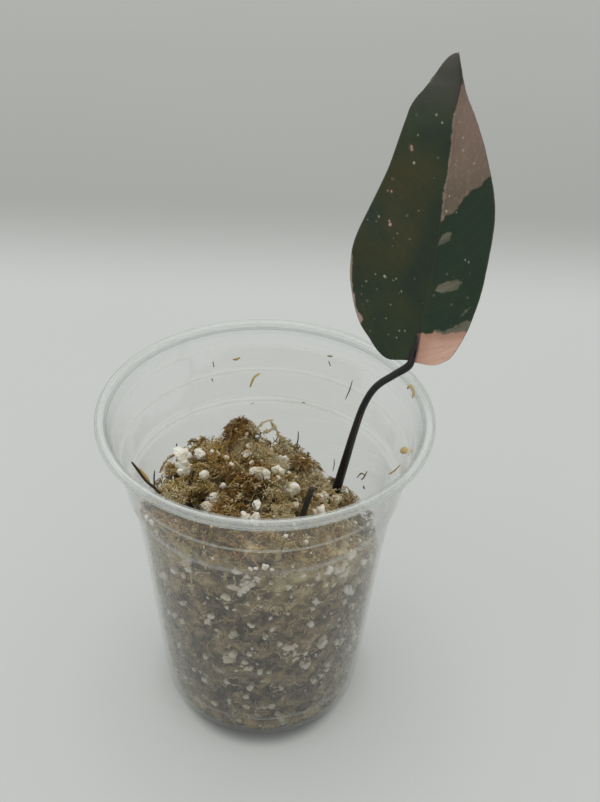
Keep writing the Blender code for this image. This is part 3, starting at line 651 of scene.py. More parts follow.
def makeLeaf(finish):
    # Rows cross the blade from its left edge to its right edge, closer together near the base. Each row
    # goes over the front and back along the underside, so the blade is one closed skin.
    length = measuredCurve(leaf["midrib"])[1][-1]
    share = np.linspace(0, 1, leaf["rows"])
    middle = share[:, None] ** leaf["rowsToBase"] * length
    halves = []
    for key, sign in (("leftEdge", -1), ("rightEdge", 1)):
        line, lengths = measuredCurve(leaf[key])
        u, v = (np.interp(share * lengths[-1], lengths, line[:, i])[:, None] for i in range(2))
        part = 1 - (1 - np.linspace(0, 1, leaf["columns"])[None]) ** leaf["columnsToEdge"]
        halves.append((sign * u * part, middle + (v - middle) * part, part + 0 * u))
    left, right = halves
    across, along, part = (np.hstack([a[:, ::-1], b[:, 1:]]) for a, b in zip(left, right))
    sheet = bladePoints(across, along)
    down, over = np.gradient(sheet, axis=0), np.gradient(sheet, axis=1)
    normal = unit(np.cross(over, down))
    veins = veinHeight(across, along)
    thick = leaf["thickness"][0] + (leaf["thickness"][1] - leaf["thickness"][0]) * part**0.7
    front = sheet + normal * (thick / 2 + veins * leaf["veinRelief"][0])[..., None]
    width, depth = leaf["groove"]
    front -= normal * (depth * np.exp(-(across / width) ** 2))[..., None]
    width, rise = leaf["ridge"]
    ridge = rise * np.exp(-(across / width) ** 2) * (1 - 0.75 * along / length)
    back = sheet - normal * (thick / 2 + ridge - veins * leaf["veinRelief"][1])[..., None]
    loops = np.concatenate([front, back[:, ::-1]], axis=1)
    columns = loops.shape[1]
    points = loops.reshape(-1, 3)
    faces = gridFaces(len(loops), columns)[:, ::-1]
    j = np.arange(across.shape[1] - 1)
    first = np.stack([j, j + 1, columns - 2 - j, columns - 1 - j], -1)
    last = (first + (len(loops) - 1) * columns)[:, ::-1]
    values = {"across": across, "along": along, "part": part}
    for key in ("sector", "corner", "fringe", "strip"):
        values[key] = outlineDistance(across, along, leafMarks[key])
    values["blots"] = np.max([outlineDistance(across, along, b) for b in leafMarks["blots"]], axis=0)
    values["spots"] = spotDistance(across, along, leafMarks["spots"])
    flecks = np.array(leafMarks["flecks"]) * (1, 1, leafMarks["fleckSize"])
    values["flecks"] = spotDistance(across, along, flecks)
    values["veins"] = veins
    values = {k: np.concatenate([v, v[:, ::-1]], axis=1).ravel() for k, v in values.items()}
    values["under"] = np.concatenate([0 * across, 1 + 0 * across], axis=1).ravel()
    return meshPiece("leafBlade", points, [faces, first, last], finish, "leaf", values, "leaf_blade")


def veinHeight(across, along):
    # Side veins: a sharp crest each veinGap along a line that leaves the midrib and bends to the tip
    phase = (along - leaf["veinLean"] * abs(across) - leaf["veinBend"] * across**2) / leaf["veinGap"]
    crest = 1 - abs(2 * (phase - np.floor(phase)) - 1)
    return np.clip(1 - crest / 0.3, 0, 1) ** 1.5 * np.clip(abs(across) / 1.5, 0, 1)


# Philodendron leaf: thin waxy skin, dark green with bronze clouds, matt pink where it has no green cells
leafSkin, tree, place = newFinish("waxyVariegatedLeaf")
leafNumbers = ("across", "along", "part", "veins", "under", *leafMarks["lines"])
values = {key: numberOf(tree, key) for key in leafNumbers}
spread = mathOf(tree, "ABSOLUTE", values["across"])
lean = mathOf(tree, "MULTIPLY_ADD", spread, -leaf["veinLean"], values["along"])
flow = addNode(tree, "ShaderNodeCombineXYZ", {}, {"X": values["across"], "Y": lean}).outputs[0]  # millimetres
# streaks about 1.2 mm apart that run out along the side veins
streaks = noise(tree, stretched(tree, flow, (0.16, 1.0, 1.0)), 0.8, 4.0)
clouds = noise(tree, place, 85.0, 3.0)  # about 12 mm wide
ragged = noise(tree, place, 700.0, 3.0)
raggedEdge = slope(tree, ragged, 0.25, 0.75, -0.7, 0.7)
cells = noise(tree, place, 1400.0, 2.0)


def overPaint(below, mask, above):
    # the colour above where the mask is 1, and the one below where it is 0
    return mixTones(tree, mask, below, above)


def times(first, *others):
    # the product of sockets and numbers
    for other in others:
        first = mathOf(tree, "MULTIPLY", first, other)
    return first


def rising(key, start, full, atStart=0.0, atFull=1.0):
    # a fade with one of the leaf's numbers
    return fade(tree, values[key], start, full, atStart, atFull)


def paintBand(below, name):
    # a colour laid over another with the fade of a row of leafBands
    key, start, full, share, tone = leafBands[name]
    return overPaint(below, rising(key, start, full, 0.0, share), tone)


def markMask(key):
    # 0 to 1 across a mark's outline, with its line moved by the ragged noise
    soft, wander = leafMarks["lines"][key]
    return fade(tree, mathOf(tree, "MULTIPLY_ADD", raggedEdge, wander, values[key]), -soft, soft)


# green in clouds, with the right half cooler: its own tone and painted sky sheen
coat = paintBand(toneRamp(tree, clouds, leafTones["green"]), "coolHalfAndSheen")
# bronze in clouds on the left half up to 62 mm, fading at both ends
bronzeAlong = times(rising("along", 4.0, 40.0, 0.25), rising("along", 66.0, 54.0))
bronzeHere = times(bronzeAlong, rising("across", 1.0, -7.0), slope(tree, clouds, 0.3, 0.65))
coat = overPaint(coat, bronzeHere, toneRamp(tree, streaks, leafTones["bronze"]))
# painted greyish sheen over the upper blade, then the brown tip
coat = paintBand(paintBand(coat, "paintedSheenEnd"), "brownTip")
coat = overPaint(coat, times(values["veins"], 0.12), leafTones["veins"])
# the sector is browner towards its base, mottled, and has a paler line along the midrib
blush = paintBand(toneRamp(tree, clouds, leafTones["sector"]), "sectorBase")
blush = overPaint(blush, slope(tree, ragged, 0.5, 0.75, 0.0, 0.5), leafTones["sectorMottle"])
byMidrib = mathOf(tree, "LESS_THAN", values["across"], 1.2)
blush = overPaint(blush, times(rising("sector", 1.0, 0.3, 0.0, 0.6), byMidrib), leafTones["sectorLine"])
inSector = markMask("sector")
coat = overPaint(coat, inSector, blush)
olive = toneRamp(tree, streaks, leafTones["olive"])
coat = overPaint(coat, markMask("blots"), olive)
coat = overPaint(coat, markMask("fringe"), olive)
# the corner is salmon, and browner along its line and by the stalk
cornerShade = mathOf(tree, "MAXIMUM", rising("corner", 3.4, 0.4, 0.0, 0.75),
                     rising("across", 7.0, 1.5, 0.0, 0.6))
salmon = overPaint(toneRamp(tree, streaks, leafTones["corner"]), cornerShade, leafTones["cornerShade"])
coat = overPaint(coat, markMask("corner"), salmon)
coat = overPaint(coat, markMask("strip"), leafTones["strip"])
coat = paintBand(coat, "rustyHalo")
coat = overPaint(coat, markMask("spots"), leafTones["spots"])
onGreen, onSector = leafTones["flecks"]
coat = overPaint(coat, markMask("flecks"), overPaint(onGreen, inSector, onSector))
# tiny pale cells scattered between the flecks: the middles of some Voronoi cells, about 2.6 mm apart
dust = addNode(tree, "ShaderNodeTexVoronoi", {}, {"Vector": place, "Scale": 380.0})
dustDot = slope(tree, dust.outputs["Distance"], 0.2, 0.1)
dustPick = mathOf(tree, "GREATER_THAN", dust.outputs["Color"], 0.72)
coat = overPaint(coat, times(dustDot, dustPick, 0.3), leafTones["dust"])
# the midrib: a faint pale thread that turns purple black over the last few millimetres to the stalk, its own
# dark colour with painted shade where the stalk joins
coat = overPaint(coat, fade(tree, spread, 0.55, 0.15, 0.0, 0.12), leafTones["midrib"])
ribWidth = slope(tree, values["along"], 0.0, 13.0, 2.6, 0.2)
ribDark = fade(tree, mathOf(tree, "DIVIDE", spread, ribWidth), 1.0, 0.3, 0.0, 0.9)
coat = overPaint(coat, times(ribDark, rising("along", 14.0, 5.0)), leafTones["midribFootAndShade"])
coat = paintBand(coat, "paleEdge")
# the underside is paler and flushed with maroon, with the same pink sectors showing through
underCoat = overPaint(coat, 0.6, toneRamp(tree, clouds, leafTones["under"]))
coat = overPaint(coat, values["under"], underCoat)
grain = mathOf(tree, "MULTIPLY_ADD", streaks, 0.8, cells)
gloss = slope(tree, clouds, 0.0, 1.0, 0.42, 0.58)
endFinish(tree, skinOf(tree, coat, gloss, reliefOf(tree, grain, 0.3, 0.2), ior=1.42, specular=0.4))
makeLeaf(leafSkin)


# Petiole

petiole = {
    "line": [(21.3, 6.2, 65.9), (22.8, 6.1, 74.4), (24.3, 6.0, 82.6), (26.5, 6.0, 94.5), (28.8, 6.0, 104.4),
             (31.9, 5.9, 111.1), (36.7, 5.7, 115.5), (40.0, 5.4, 118.3), (41.3, 5.5, 120.2),
             (42.0, 6.6, 123.4)],
    "radii": [1.55, 1.4, 1.3, 1.15, 1.05, 1.05, 1.08, 1.15, 1.05, 0.5],
    "tones": [(0.35, "#131415"), (0.52, "#191a1b"), (0.64, "#2c2128"), (0.76, "#20231f")],
    "roughness": 0.36,
}

# Petiole skin: smooth and waxy, nearly black, with hints of purple and green in patches about 11 mm long
petioleSkin, tree, place = newFinish("darkWaxyPetiole")
fibres = noise(tree, stretched(tree, place, (1.0, 1.0, 0.08)), 1800.0, 3.0)
coat = toneRamp(tree, noise(tree, place, 90.0, 3.0), petiole["tones"])
endFinish(tree, skinOf(tree, coat, petiole["roughness"], reliefOf(tree, fibres, 0.3, 0.2), ior=1.42))
points, faces = tubeThrough(petiole["line"], petiole["radii"], 28, 14)
meshPiece("petioleStalk", points, faces, petioleSkin, "petiole", None, "petiole")


# Vine

vine = {
    "line": [(25.0, 11.5, 60.8), (21.0, 6.0, 62.0), (16.0, -5.3, 65.6), (11.0, -16.6, 68.5),
             (8.8, -21.0, 69.4)],
    "radii": [2.1, 3.2, 2.3, 3.1, 2.0],
    "stub": [(10.4, -17.0, 68.5), (10.9, -17.2, 80.0), (13.5, -16.2, 91.2)],
    "stubRadii": [1.3, 0.95, 0.9],
    "roots": [[(21, 6, 61), (24, 11, 48), (21, 17, 34), (25, 13, 19), (22, 6, 8)],
              [(20, 4, 61), (14, 1, 47), (17, -7, 33), (11, -3, 18)],
              [(11, -17, 67), (5, -21, 51), (10, -24, 36), (3, -21, 22), (6, -14, 12)],
              [(10, -16, 67), (1, -10, 54), (-8, -12, 42), (-14, -6, 30)]],
    "rootRadii": (1.1, 0.5),
    "tones": [(0.3, "#161412"), (0.5, "#231f1a"), (0.7, "#3d3427")],
    "roughness": 0.62,
}

# Vine bark: dull olive brown skin with fine cracks, nearly black in patches
vineBark, tree, place = newFinish("driedVineBark")
cracks = noise(tree, place, 900.0, 4.0)
coat = toneRamp(tree, noise(tree, place, 150.0, 3.0), vine["tones"])
endFinish(tree, skinOf(tree, coat, vine["roughness"], reliefOf(tree, cracks, 0.6, 0.4)))
parts = [tubeThrough(vine["line"], vine["radii"], 24, 12),
         tubeThrough(vine["stub"], vine["stubRadii"], 18, 16)]
for root in vine["roots"]:
    parts.append(tubeThrough(root, np.linspace(*vine["rootRadii"], len(root)), 10, 8))
meshPiece("vineCutting", *joined(parts), vineBark, "vine", None, "stem_cutting")


# Growing mix

mix = {
    "heap": [(-7.5, 8.5, 95.6), (-18, -2, 91), (0, -8, 90), (-26, -2, 88), (-29, -14, 86.5), (-27, -27, 87),
             (-20, -24, 86), (0, -33, 85), (12, -15, 81.5), (18, -27, 79), (11, 10, 80), (22, 4, 74),
             (35, -14, 66), (37, 0, 54), (32, 20, 48), (25, 25, 52), (14, 22, 66), (-3, 34, 66),
             (-20, 11, 86), (-22, 30, 60), (-34, 17, 57), (-37, -3, 62), (-12, 24, 74)],  # x, y and height
    "softness": 6.0,
    "clearance": 1.05,  # behind the cup's outer skin
    "bottom": 1.3,
    "around": 128,
    "wallRings": 48,
    "topRings": 30,
    "coreRim": 36.0,  # radius where the core meets the heap
    "heapRim": 37.0,  # and where the moss does, at the wall
    "coreDepth": 1.8,
    "coreDrop": 3.0,
    "lumpSize": 7.0,
    "lumpRise": 0.8,
    "wetBelow": 18.0,
    "dryingHeight": 60.0,  # over which the mix dries above that
    "clumpSize": 8.0,
    "clumpShade": 0.26,  # how much paler or darker the clumps are
    "underRim": 1.8,  # the core's wall ends this far under its rim
    "baseReach": (0.35, 0.7),  # radii of the rings in the flat bottom, in shares of the wall's
    "topReach": (0.97, 0.04),  # the same for the first and last ring in the heap
    "depthStart": 0.15,  # share of the core's depth at height 0, and the height that adds a whole one
    "depthHeight": 9.0,
    "dentShares": (0.1, 1.1),  # least and most of a dent in the wall
    "coreShade": (0.42, 0.12, 0.18, 0.1),  # mean, paler at the bottom as painted light, paler when dry, darker on top
    "bottomFade": 12.0,
    "topFade": 6.0,
    "tones": [(0.0, "#2b231b"), (0.25, "#4b3e2f"), (0.5, "#766750"), (0.75, "#a08f6b"), (1.0, "#c4b58c")],
}


def heapHeight(x, y):
    # the listed heights blended by the power -1.5 of their squared distance
    heap = np.array(mix["heap"], float)
    weight = ((x[..., None] - heap[:, 0]) ** 2 + (y[..., None] - heap[:, 1]) ** 2 + mix["softness"]) ** -1.5
    return (weight * heap[:, 2]).sum(-1) / weight.sum(-1)


def mixRadius(height):
    # how far out the mix may reach at a height: the cup's outer skin less the clearance
    skin = np.array(cup["skin"])[::-1]
    return np.interp(height, skin[:, 1], skin[:, 0]) - mix["clearance"]


def wallTop(out):
    # the heap's height where it meets the wall in these directions
    return heapHeight(*(mix["heapRim"] * out[:, :2]).T)


def dryShare(height):
    # 0 where the mix is wet low in the cup, rising evenly to 1 where it is dry
    return np.clip((height - mix["wetBelow"]) / mix["dryingHeight"], 0, 1)


def clumpShade(points):
    # soft clumps: clumpShade times the sum of waves, each about one clump long
    return mix["clumpShade"] * waves(points, mix["clumpSize"], 9)


def patchShift(points):
    # how much paler and rustier the patches make each point, clumps and painted shade alike: each one's
    # change times exp(-(gap / size)^2)
    degrees, height, size, paler, rustier = np.array(moss["patches"], float).T
    turn = np.radians(degrees)
    middles = np.column_stack([mixRadius(height) * np.cos(turn), mixRadius(height) * np.sin(turn), height])
    share = np.exp(-(np.linalg.norm(points[:, None] - middles, axis=-1) / size) ** 2)
    return share @ paler, share @ rustier


def makeCore(finish):
    # Rings of points: out over the flat bottom, up the wall and in over the heap, roughened by waves
    around, wallRings, bottom = mix["around"], mix["wallRings"], mix["bottom"]
    turn = np.arange(around) * 2 * np.pi / around
    out = np.stack([np.cos(turn), np.sin(turn)], -1)
    rimTop = heapHeight(*(mix["coreRim"] * out).T)
    share = np.linspace(0, 1, wallRings)[:, None]
    height = bottom + share * (rimTop - mix["underRim"] - bottom)
    # less deep near the bottom
    depth = mix["coreDepth"] * np.clip(mix["depthStart"] + height / mix["depthHeight"], 0, 1)
    wall = np.concatenate([(mixRadius(height) - depth)[..., None] * out, height[..., None]], -1)
    base = wall[:1] * np.array(mix["baseReach"])[:, None, None]
    base[..., 2] = bottom
    flat = wall[-1:, :, :2] * np.linspace(*mix["topReach"], mix["topRings"])[:, None, None]
    top = np.concatenate([flat, (heapHeight(flat[..., 0], flat[..., 1]) - mix["coreDrop"])[..., None]], -1)
    sides = np.concatenate([wall, top])
    lumps = waves(sides, mix["lumpSize"], 3) + 0.5 * waves(sides, mix["lumpSize"] / 2.4, 4)
    outward = np.concatenate([unit(wall * (1, 1, 0)), np.zeros_like(top) + (0, 0, 1)])
    dents = -abs(lumps) * np.clip(sides[..., 2] / mix["depthHeight"], *mix["dentShares"])
    push = np.where(np.arange(len(sides))[:, None] < wallRings, dents, lumps * mix["lumpRise"])
    rings = np.concatenate([base, sides + outward * push[..., None]])
    apex = [0, 0, heapHeight(np.zeros(1), np.zeros(1))[0] - mix["coreDrop"]]
    points = np.vstack([[0, 0, bottom], rings.reshape(-1, 3), apex])
    mean, paintedLightAtBottom, whenDry, onTop = mix["coreShade"]
    near = np.clip(1 - (heapHeight(points[:, 0], points[:, 1]) - points[:, 2]) / mix["topFade"], 0, 1)
    # painted light: the core is paler low in the cup
    low = paintedLightAtBottom * np.clip(1 - points[:, 2] / mix["bottomFade"], 0, 1)
    shade = mean + low + whenDry * dryShare(points[:, 2]) + clumpShade(points) - onTop * near
    shade += patchShift(points)[0]
    return meshPiece("mixCore", points, poleFaces(len(rings), around), finish, "moss_and_perlite",
                     {"shade": shade}, "growing_mix")


moss = {
    "stemSteps": 8,
    "stemRadius": 0.17,
    "stemTaper": (1.2, 0.5),  # shares of that radius at the foot and the tip
    "stemVariety": (0.6, 1.5),
    "leaflets": 12,
    "leafletTurn": 2.4,  # the golden angle in radians, from one to the next
    "heapReach": 38.0,
    "heapSpan": (-38.5, 78.0),  # start and width of the square that the tufts are laid out on
    "wallRadius": 36.0,  # of the honeycomb round the wall
    "wallHeight": 72.0,
    "oliveTones": [(0.0, "#3c3124"), (0.2, "#77633c"), (0.4, "#9f8859"), (0.6, "#c1a976"), (0.8, "#dbc997"),
                   (1.0, "#eee2c1")],
    "rustTones": [(0.0, "#3c2e24"), (0.2, "#775c43"), (0.4, "#a07e5a"), (0.6, "#bc9c6f"), (0.8, "#d8bd92"),
                  (1.0, "#ebdcb8")],
    "greyHeights": (25.0, 84.0),  # where the colour is dullest and fullest, and its saturation at both
    "vividness": (0.34, 0.92),
    "lightThrough": 0.3,
    "leafletLength": (1.1, 2.2),
    "bushiness": (1.1, 0.9, 0.5),  # shares of that length, one for each sprig by chance
    "leafletShrink": (1.15, 0.4),  # a leaflet's share of its length at the foot, and what is lost to the tip
    "leafletWaist": (0.45, 0.1),  # how far along and out it is widest, in leaflet lengths
    "leafletWidth": 0.17,  # half of it, in leaflet lengths
    "leafletFlat": 0.3,
    "tipsFrom": 0.6,  # how pale the stem's tip is, where 1 is the tip of its last leaflet
    "lean": (0.25, 0.95),
    "bends": (0.6, 3.0),  # how far a sprig turns from end to end, in radians
    "lengths": (2.6, 5.6),
    "heapGap": 4.4,  # between tufts
    "heapSprigs": 6,
    "wallGap": 6.5,
    "wallSprigs": 4,
    "standsUp": 1.0,  # sprigs higher over the heap than this are pressed down
    "pressed": 0.67,  # by this share of the rest
    "jitter": 0.35,  # of the honeycombs, in gaps
    "scatter": 0.3,  # how far chance turns a sprig
    "droop": 0.3,  # how far a sprig of the heap bends outward and down, where chance is 1
    "tuftReach": 0.7,  # where a tuft's sprigs start, in spreads from its middle
    "tuftDepth": 1.7,  # and how far under the heap
    "tuftOutward": (0.4, 1.2),
    "tuftUpward": (0.0, 0.9),
    "heapShade": (0.66, 0.12, 0.28, 11, 8),  # mean, spread, share of the waves, their size and their seed
    "heapWarmth": (0.42, 0.15, 0.35, 16, 5),
    "heapVariety": 0.09,
    "heapRise": (-0.6, 0.6),
    "tuftVariety": (0.1, 0.12),  # spread of shade and of warmth
    "tuftRise": (-0.4, 1.2),
    "wallStart": 2.0,  # lowest tufts
    "wallUnder": 1.0,  # highest ones, under the heap's edge
    "wallDepth": (0.3, 1.6),
    "wallSpread": 1.6,
    "wallOutward": (-0.4, 0.25),
    "goldenFrom": 60.0,  # the height where the moss starts to turn golden, and over which it does
    "goldenOver": 14.0,
    "wallShade": (0.51, 0.11, 0.24, 0.17),  # mean, spread, paler when dry, paler where golden
    "wallWarmth": (0.28, 0.13, 0.2, 0.1, 0.3),  # the same for rust, and the share of the waves
    "heapSlack": 0.3,  # how far inside the wall the sprigs may end
    "wallSlack": 0.4,
    "tufts": [  # x, y, spread, number of sprigs, shade from 0 dark to 1 pale, warmth from 0 olive to 1 rust
        (-8.3, 7.5, 2.2, 80, 0.34, 0.75), (11.1, 10.7, 2.6, 60, 0.50, 0.75),
        (-6.8, -10.2, 4.0, 70, 0.27, 0.90), (-10.6, -19.0, 4.0, 70, 0.55, 0.85),
        (3.2, -15.6, 4.0, 85, 1.0, 0.85), (-26.0, -11.5, 4.4, 85, 0.90, 0.55),
        (1.5, 4.4, 3.8, 100, 1.3, 0.35), (-16.0, 5.0, 4.0, 70, 0.80, 0.65),
        (16.0, 4.0, 4.0, 80, 0.92, 0.30), (-12.5, -2.6, 3.4, 50, 0.62, 0.80),
        # the last three tufts, nearly black, are painted shade in holes of the heap
        (-1.3, -12.7, 1.6, 26, 0.02, 0.10), (-19.8, -15.2, 2.2, 34, 0.04, 0.45),
        (-21.0, -19.5, 1.8, 24, 0.05, 0.45)],
    "patches": [  # clumps seen through the wall, and painted shade in the gap under the front of the rim: degrees round, height, size, and how much paler and rustier
        # the patch at -90 degrees and 91 mm is painted shade under the front of the rim
        (-102, 91, 6, 0.08, 0.45), (-90, 91, 6, -0.50, -0.1), (-71, 77, 6, 0.46, -0.1),
        (-57, 75, 8, 0.56, -0.1), (-80, 83, 5, 0.20, 0.1), (-101, 61, 7, -0.22, -0.1),
        (-95, 48, 7, -0.22, -0.1), (-92, 62, 4, 0.28, -0.2), (-74, 36, 6, 0.14, -0.4),
        (-50, 57, 7, -0.22, 0.0), (-122, 56, 8, -0.16, -0.2), (-102, 8, 6, 0.16, 0.4),
        (-133, 70, 7, 0.16, 0.0), (-113, 21, 7, -0.14, 0.0), (-62, 24, 6, -0.14, -0.2),
        (-120, 88, 7, -0.10, 0.3), (-45, 86, 7, 0.10, -0.2), (60, 40, 9, -0.2, 0.0),
        (110, 55, 9, 0.2, 0.1), (180, 60, 8, 0.2, 0.0), (160, 30, 9, -0.2, -0.1), (20, 35, 8, 0.15, 0.2),
        (-42, 70, 8, 0.45, -0.1), (-101, 87, 5, 0.34, 0.1), (-76, 67, 6, 0.20, 0.0),
        (-103, 41, 6, -0.16, 0.0), (-89, 77, 4, -0.12, -0.3)],
}


# Damp moss and fibre packed together: dull brown crumb in soft clumps, seen in the gaps
dampPeat, tree, place = newFinish("dampMossBed")
crumb = noise(tree, place, 420.0, 5.0)
crumbled = mathOf(tree, "MULTIPLY_ADD", crumb, 1.3, -0.65)
coat = toneRamp(tree, mathOf(tree, "ADD", crumbled, numberOf(tree, "shade")), mix["tones"])
endFinish(tree, skinOf(tree, coat, 0.9, reliefOf(tree, crumb, 1.0, 1.2), specular=0.15))
makeCore(dampPeat)


def sprigs(starts, directions, asides, lengths, bends, dice, leafy=1.0):
    # A sprig is an arc: it leaves its start along its direction and bends evenly towards its aside.
    # Flat pointed leaflets stand round it, each a golden angle on from the last, and lean to its tip.
    aside = unit(asides - (asides * directions).sum(-1, keepdims=True) * directions)
    axis = np.cross(directions, aside)
    steps = moss["stemSteps"]
    radius = (lengths / bends)[:, None, None]

    def arcPoints(angle):
        # the start plus the radius times (sin angle of the direction and 1 - cos angle of the aside)
        ahead, bent = np.sin(angle), 1 - np.cos(angle)
        return starts[:, None] + radius * (ahead * directions[:, None] + bent * aside[:, None])

    paths = arcPoints(bends[:, None, None] * np.linspace(0, 1, steps)[None, :, None])
    count = len(starts)
    width = moss["stemRadius"] * np.linspace(*moss["stemTaper"], steps)[None]
    width = width * dice.uniform(*moss["stemVariety"], (count, 1))
    stems = tubesAlong(paths, np.repeat(axis[:, None], steps, axis=1), width, 3)
    many = moss["leaflets"]
    where = (np.arange(many) + dice.uniform(0, 1, (count, many))) / many
    bend = bends[:, None, None] * where[..., None]
    foot = arcPoints(bend)
    along = np.cos(bend) * directions[:, None] + np.sin(bend) * aside[:, None]
    twist = (moss["leafletTurn"] * np.arange(many) + dice.uniform(0, anyPhase, (count, 1)))[..., None]
    outward = np.cos(twist) * axis[:, None] + np.sin(twist) * np.cross(along, axis[:, None])
    wide = np.cross(along, outward)
    lean = dice.uniform(*moss["lean"], (count, many, 1))
    atFoot, lost = moss["leafletShrink"]
    size = dice.uniform(*moss["leafletLength"], (count, many, 1)) * (atFoot - lost * where[..., None]) * leafy
    size *= dice.choice(moss["bushiness"], (count, 1, 1))
    leaning = np.cos(lean) * along + np.sin(lean) * outward
    tip = foot + size * leaning
    waistAlong, waistOut = moss["leafletWaist"]
    waist = foot + size * waistAlong * leaning + size * waistOut * outward
    leafPaths = np.stack([foot, waist, tip], axis=2).reshape(-1, 3, 3)
    leafWide = np.repeat(wide.reshape(-1, 1, 3), 3, axis=1)
    halves = np.tile([0.0, moss["leafletWidth"], 0.0], (count * many, 1)) * size.reshape(-1, 1)
    leaflets = tubesAlong(leafPaths, leafWide, halves, 3, flat=moss["leafletFlat"])
    points, faces = joined([stems[:2], leaflets[:2]])
    owner = np.concatenate([stems[2], leaflets[2] // many])
    stemTips = np.tile(np.linspace(0, moss["tipsFrom"], len(stems[0]) // count), count)
    paler = np.tile([0.0, 0.2, 0.2, 0.2, 0.4], count * many)  # foot, the three points of the waist, and tip
    leafletTips = np.repeat(where.ravel(), 5) * moss["tipsFrom"] + paler
    return points, faces, owner, np.concatenate([stemTips, leafletTips])


def insideCup(points, slack):
    # points beyond the mix's reach are pressed back against the wall, and under the bottom up to it
    radius = np.hypot(points[:, 0], points[:, 1])
    limit = mixRadius(points[:, 2]) - slack
    points[:, :2] *= np.minimum(1, limit / np.maximum(radius, 1e-6))[:, None]
    points[:, 2] = np.maximum(points[:, 2], 1.2)
    return points


def pressedDown(points, height):
    # what stands higher over the heap than the height loses a share of the rest
    over = np.maximum(points[:, 2] - heapHeight(points[:, 0], points[:, 1]) - height, 0)
    points[:, 2] -= moss["pressed"] * over
    return points


def evenPlaces(width, depth, gap, dice):
    # middles of a honeycomb over a width and depth, each moved about by chance. Its rows are a gap times
    # the sine of 60 degrees apart.
    x, y = np.meshgrid(np.arange(0, width, gap), np.arange(0, depth, gap * 0.866))
    x = x + 0.5 * gap * (np.arange(len(x)) % 2)[:, None]
    jitter = moss["jitter"]
    return np.stack([x.ravel(), y.ravel()], -1) + dice.uniform(-jitter, jitter, (x.size, 2)) * gap


def wavering(numbers, places, dice):
    # chance about a mean, plus a share of soft waves
    mean, spread, share, size, seed = numbers
    return dice.normal(mean, spread, len(places)) + share * waves(places, size, seed)


def mossPiece(name, sprigParts, shade, warmth, finish, slack, dice):
    # the sprigs pressed down on the heap and into the cup, with the numbers that their finish reads
    points, faces, owner, tips = sprigParts
    points = pressedDown(points, moss["standsUp"])
    points = insideCup(points, dice.uniform(0.0, slack, len(shade))[owner])
    values = {"shade": np.clip(shade, 0, 1.3)[owner], "warmth": np.clip(warmth, 0, 1)[owner], "tips": tips}
    return meshPiece(name, points, faces, finish, "moss_and_perlite", values)


def tuftsOnHeap(name, centres, spread, shade, warmth, rise, dice, finish):
    # Sprigs spring from near their tuft's middle, lean outward and droop. One row of each array a sprig.
    count = len(centres)
    turn = dice.uniform(0, 2 * np.pi, count)
    out = outwardAt(turn)
    flat = centres + (out * (spread * moss["tuftReach"] * dice.uniform(0, 1, count) ** 0.6)[:, None])[:, :2]
    reach = np.hypot(*flat.T)
    flat *= np.minimum(1, moss["heapReach"] / reach)[:, None]
    starts = np.column_stack([flat, heapHeight(*flat.T) - moss["tuftDepth"] + rise])
    up = np.array([0, 0, 1.0])
    outward = out * dice.uniform(*moss["tuftOutward"], (count, 1))
    upward = up * dice.uniform(*moss["tuftUpward"], (count, 1))
    directions = unit(outward + upward + moss["scatter"] * dice.normal(size=(count, 3)))
    asides = moss["droop"] * out - moss["droop"] * up + dice.normal(size=(count, 3))
    lengths, bends = dice.uniform(*moss["lengths"], count), dice.uniform(*moss["bends"], count)
    parts = sprigs(starts, directions, asides, lengths, bends, dice)
    return mossPiece(name, parts, shade, warmth, finish, moss["heapSlack"], dice)


def makeMossOnHeap(finish):
    # one tuft at each place of the honeycomb
    dice = np.random.default_rng(11)
    start, span = moss["heapSpan"]
    places = evenPlaces(span, span, moss["heapGap"], dice) + start
    places = places[np.hypot(*places.T) < moss["heapReach"]]
    field = np.column_stack([places, 0 * places[:, 0]])
    number = moss["heapSprigs"]
    shade = np.repeat(wavering(moss["heapShade"], field, dice), number)
    warmth = np.repeat(wavering(moss["heapWarmth"], field, dice), number)
    shade += dice.normal(0, moss["heapVariety"], len(shade))
    rise = dice.uniform(*moss["heapRise"], len(shade))
    centres = np.repeat(places, number, axis=0)
    return tuftsOnHeap("mossOnHeap", centres, moss["heapGap"], shade, warmth, rise, dice, finish)


def makeMossTufts(finish):
    # the larger tufts that stand out, one row of the list each
    dice = np.random.default_rng(14)
    tufts = np.array(moss["tufts"])
    tufts = np.repeat(tufts, tufts[:, 3].astype(int), axis=0)
    shadeSpread, warmthSpread = moss["tuftVariety"]
    shade = tufts[:, 4] + dice.normal(0, shadeSpread, len(tufts))
    warmth = tufts[:, 5] + dice.normal(0, warmthSpread, len(tufts))
    rise = dice.uniform(*moss["tuftRise"], len(tufts))
    return tuftsOnHeap("mossTufts", tufts[:, :2], tufts[:, 2], shade, warmth, rise, dice, finish)


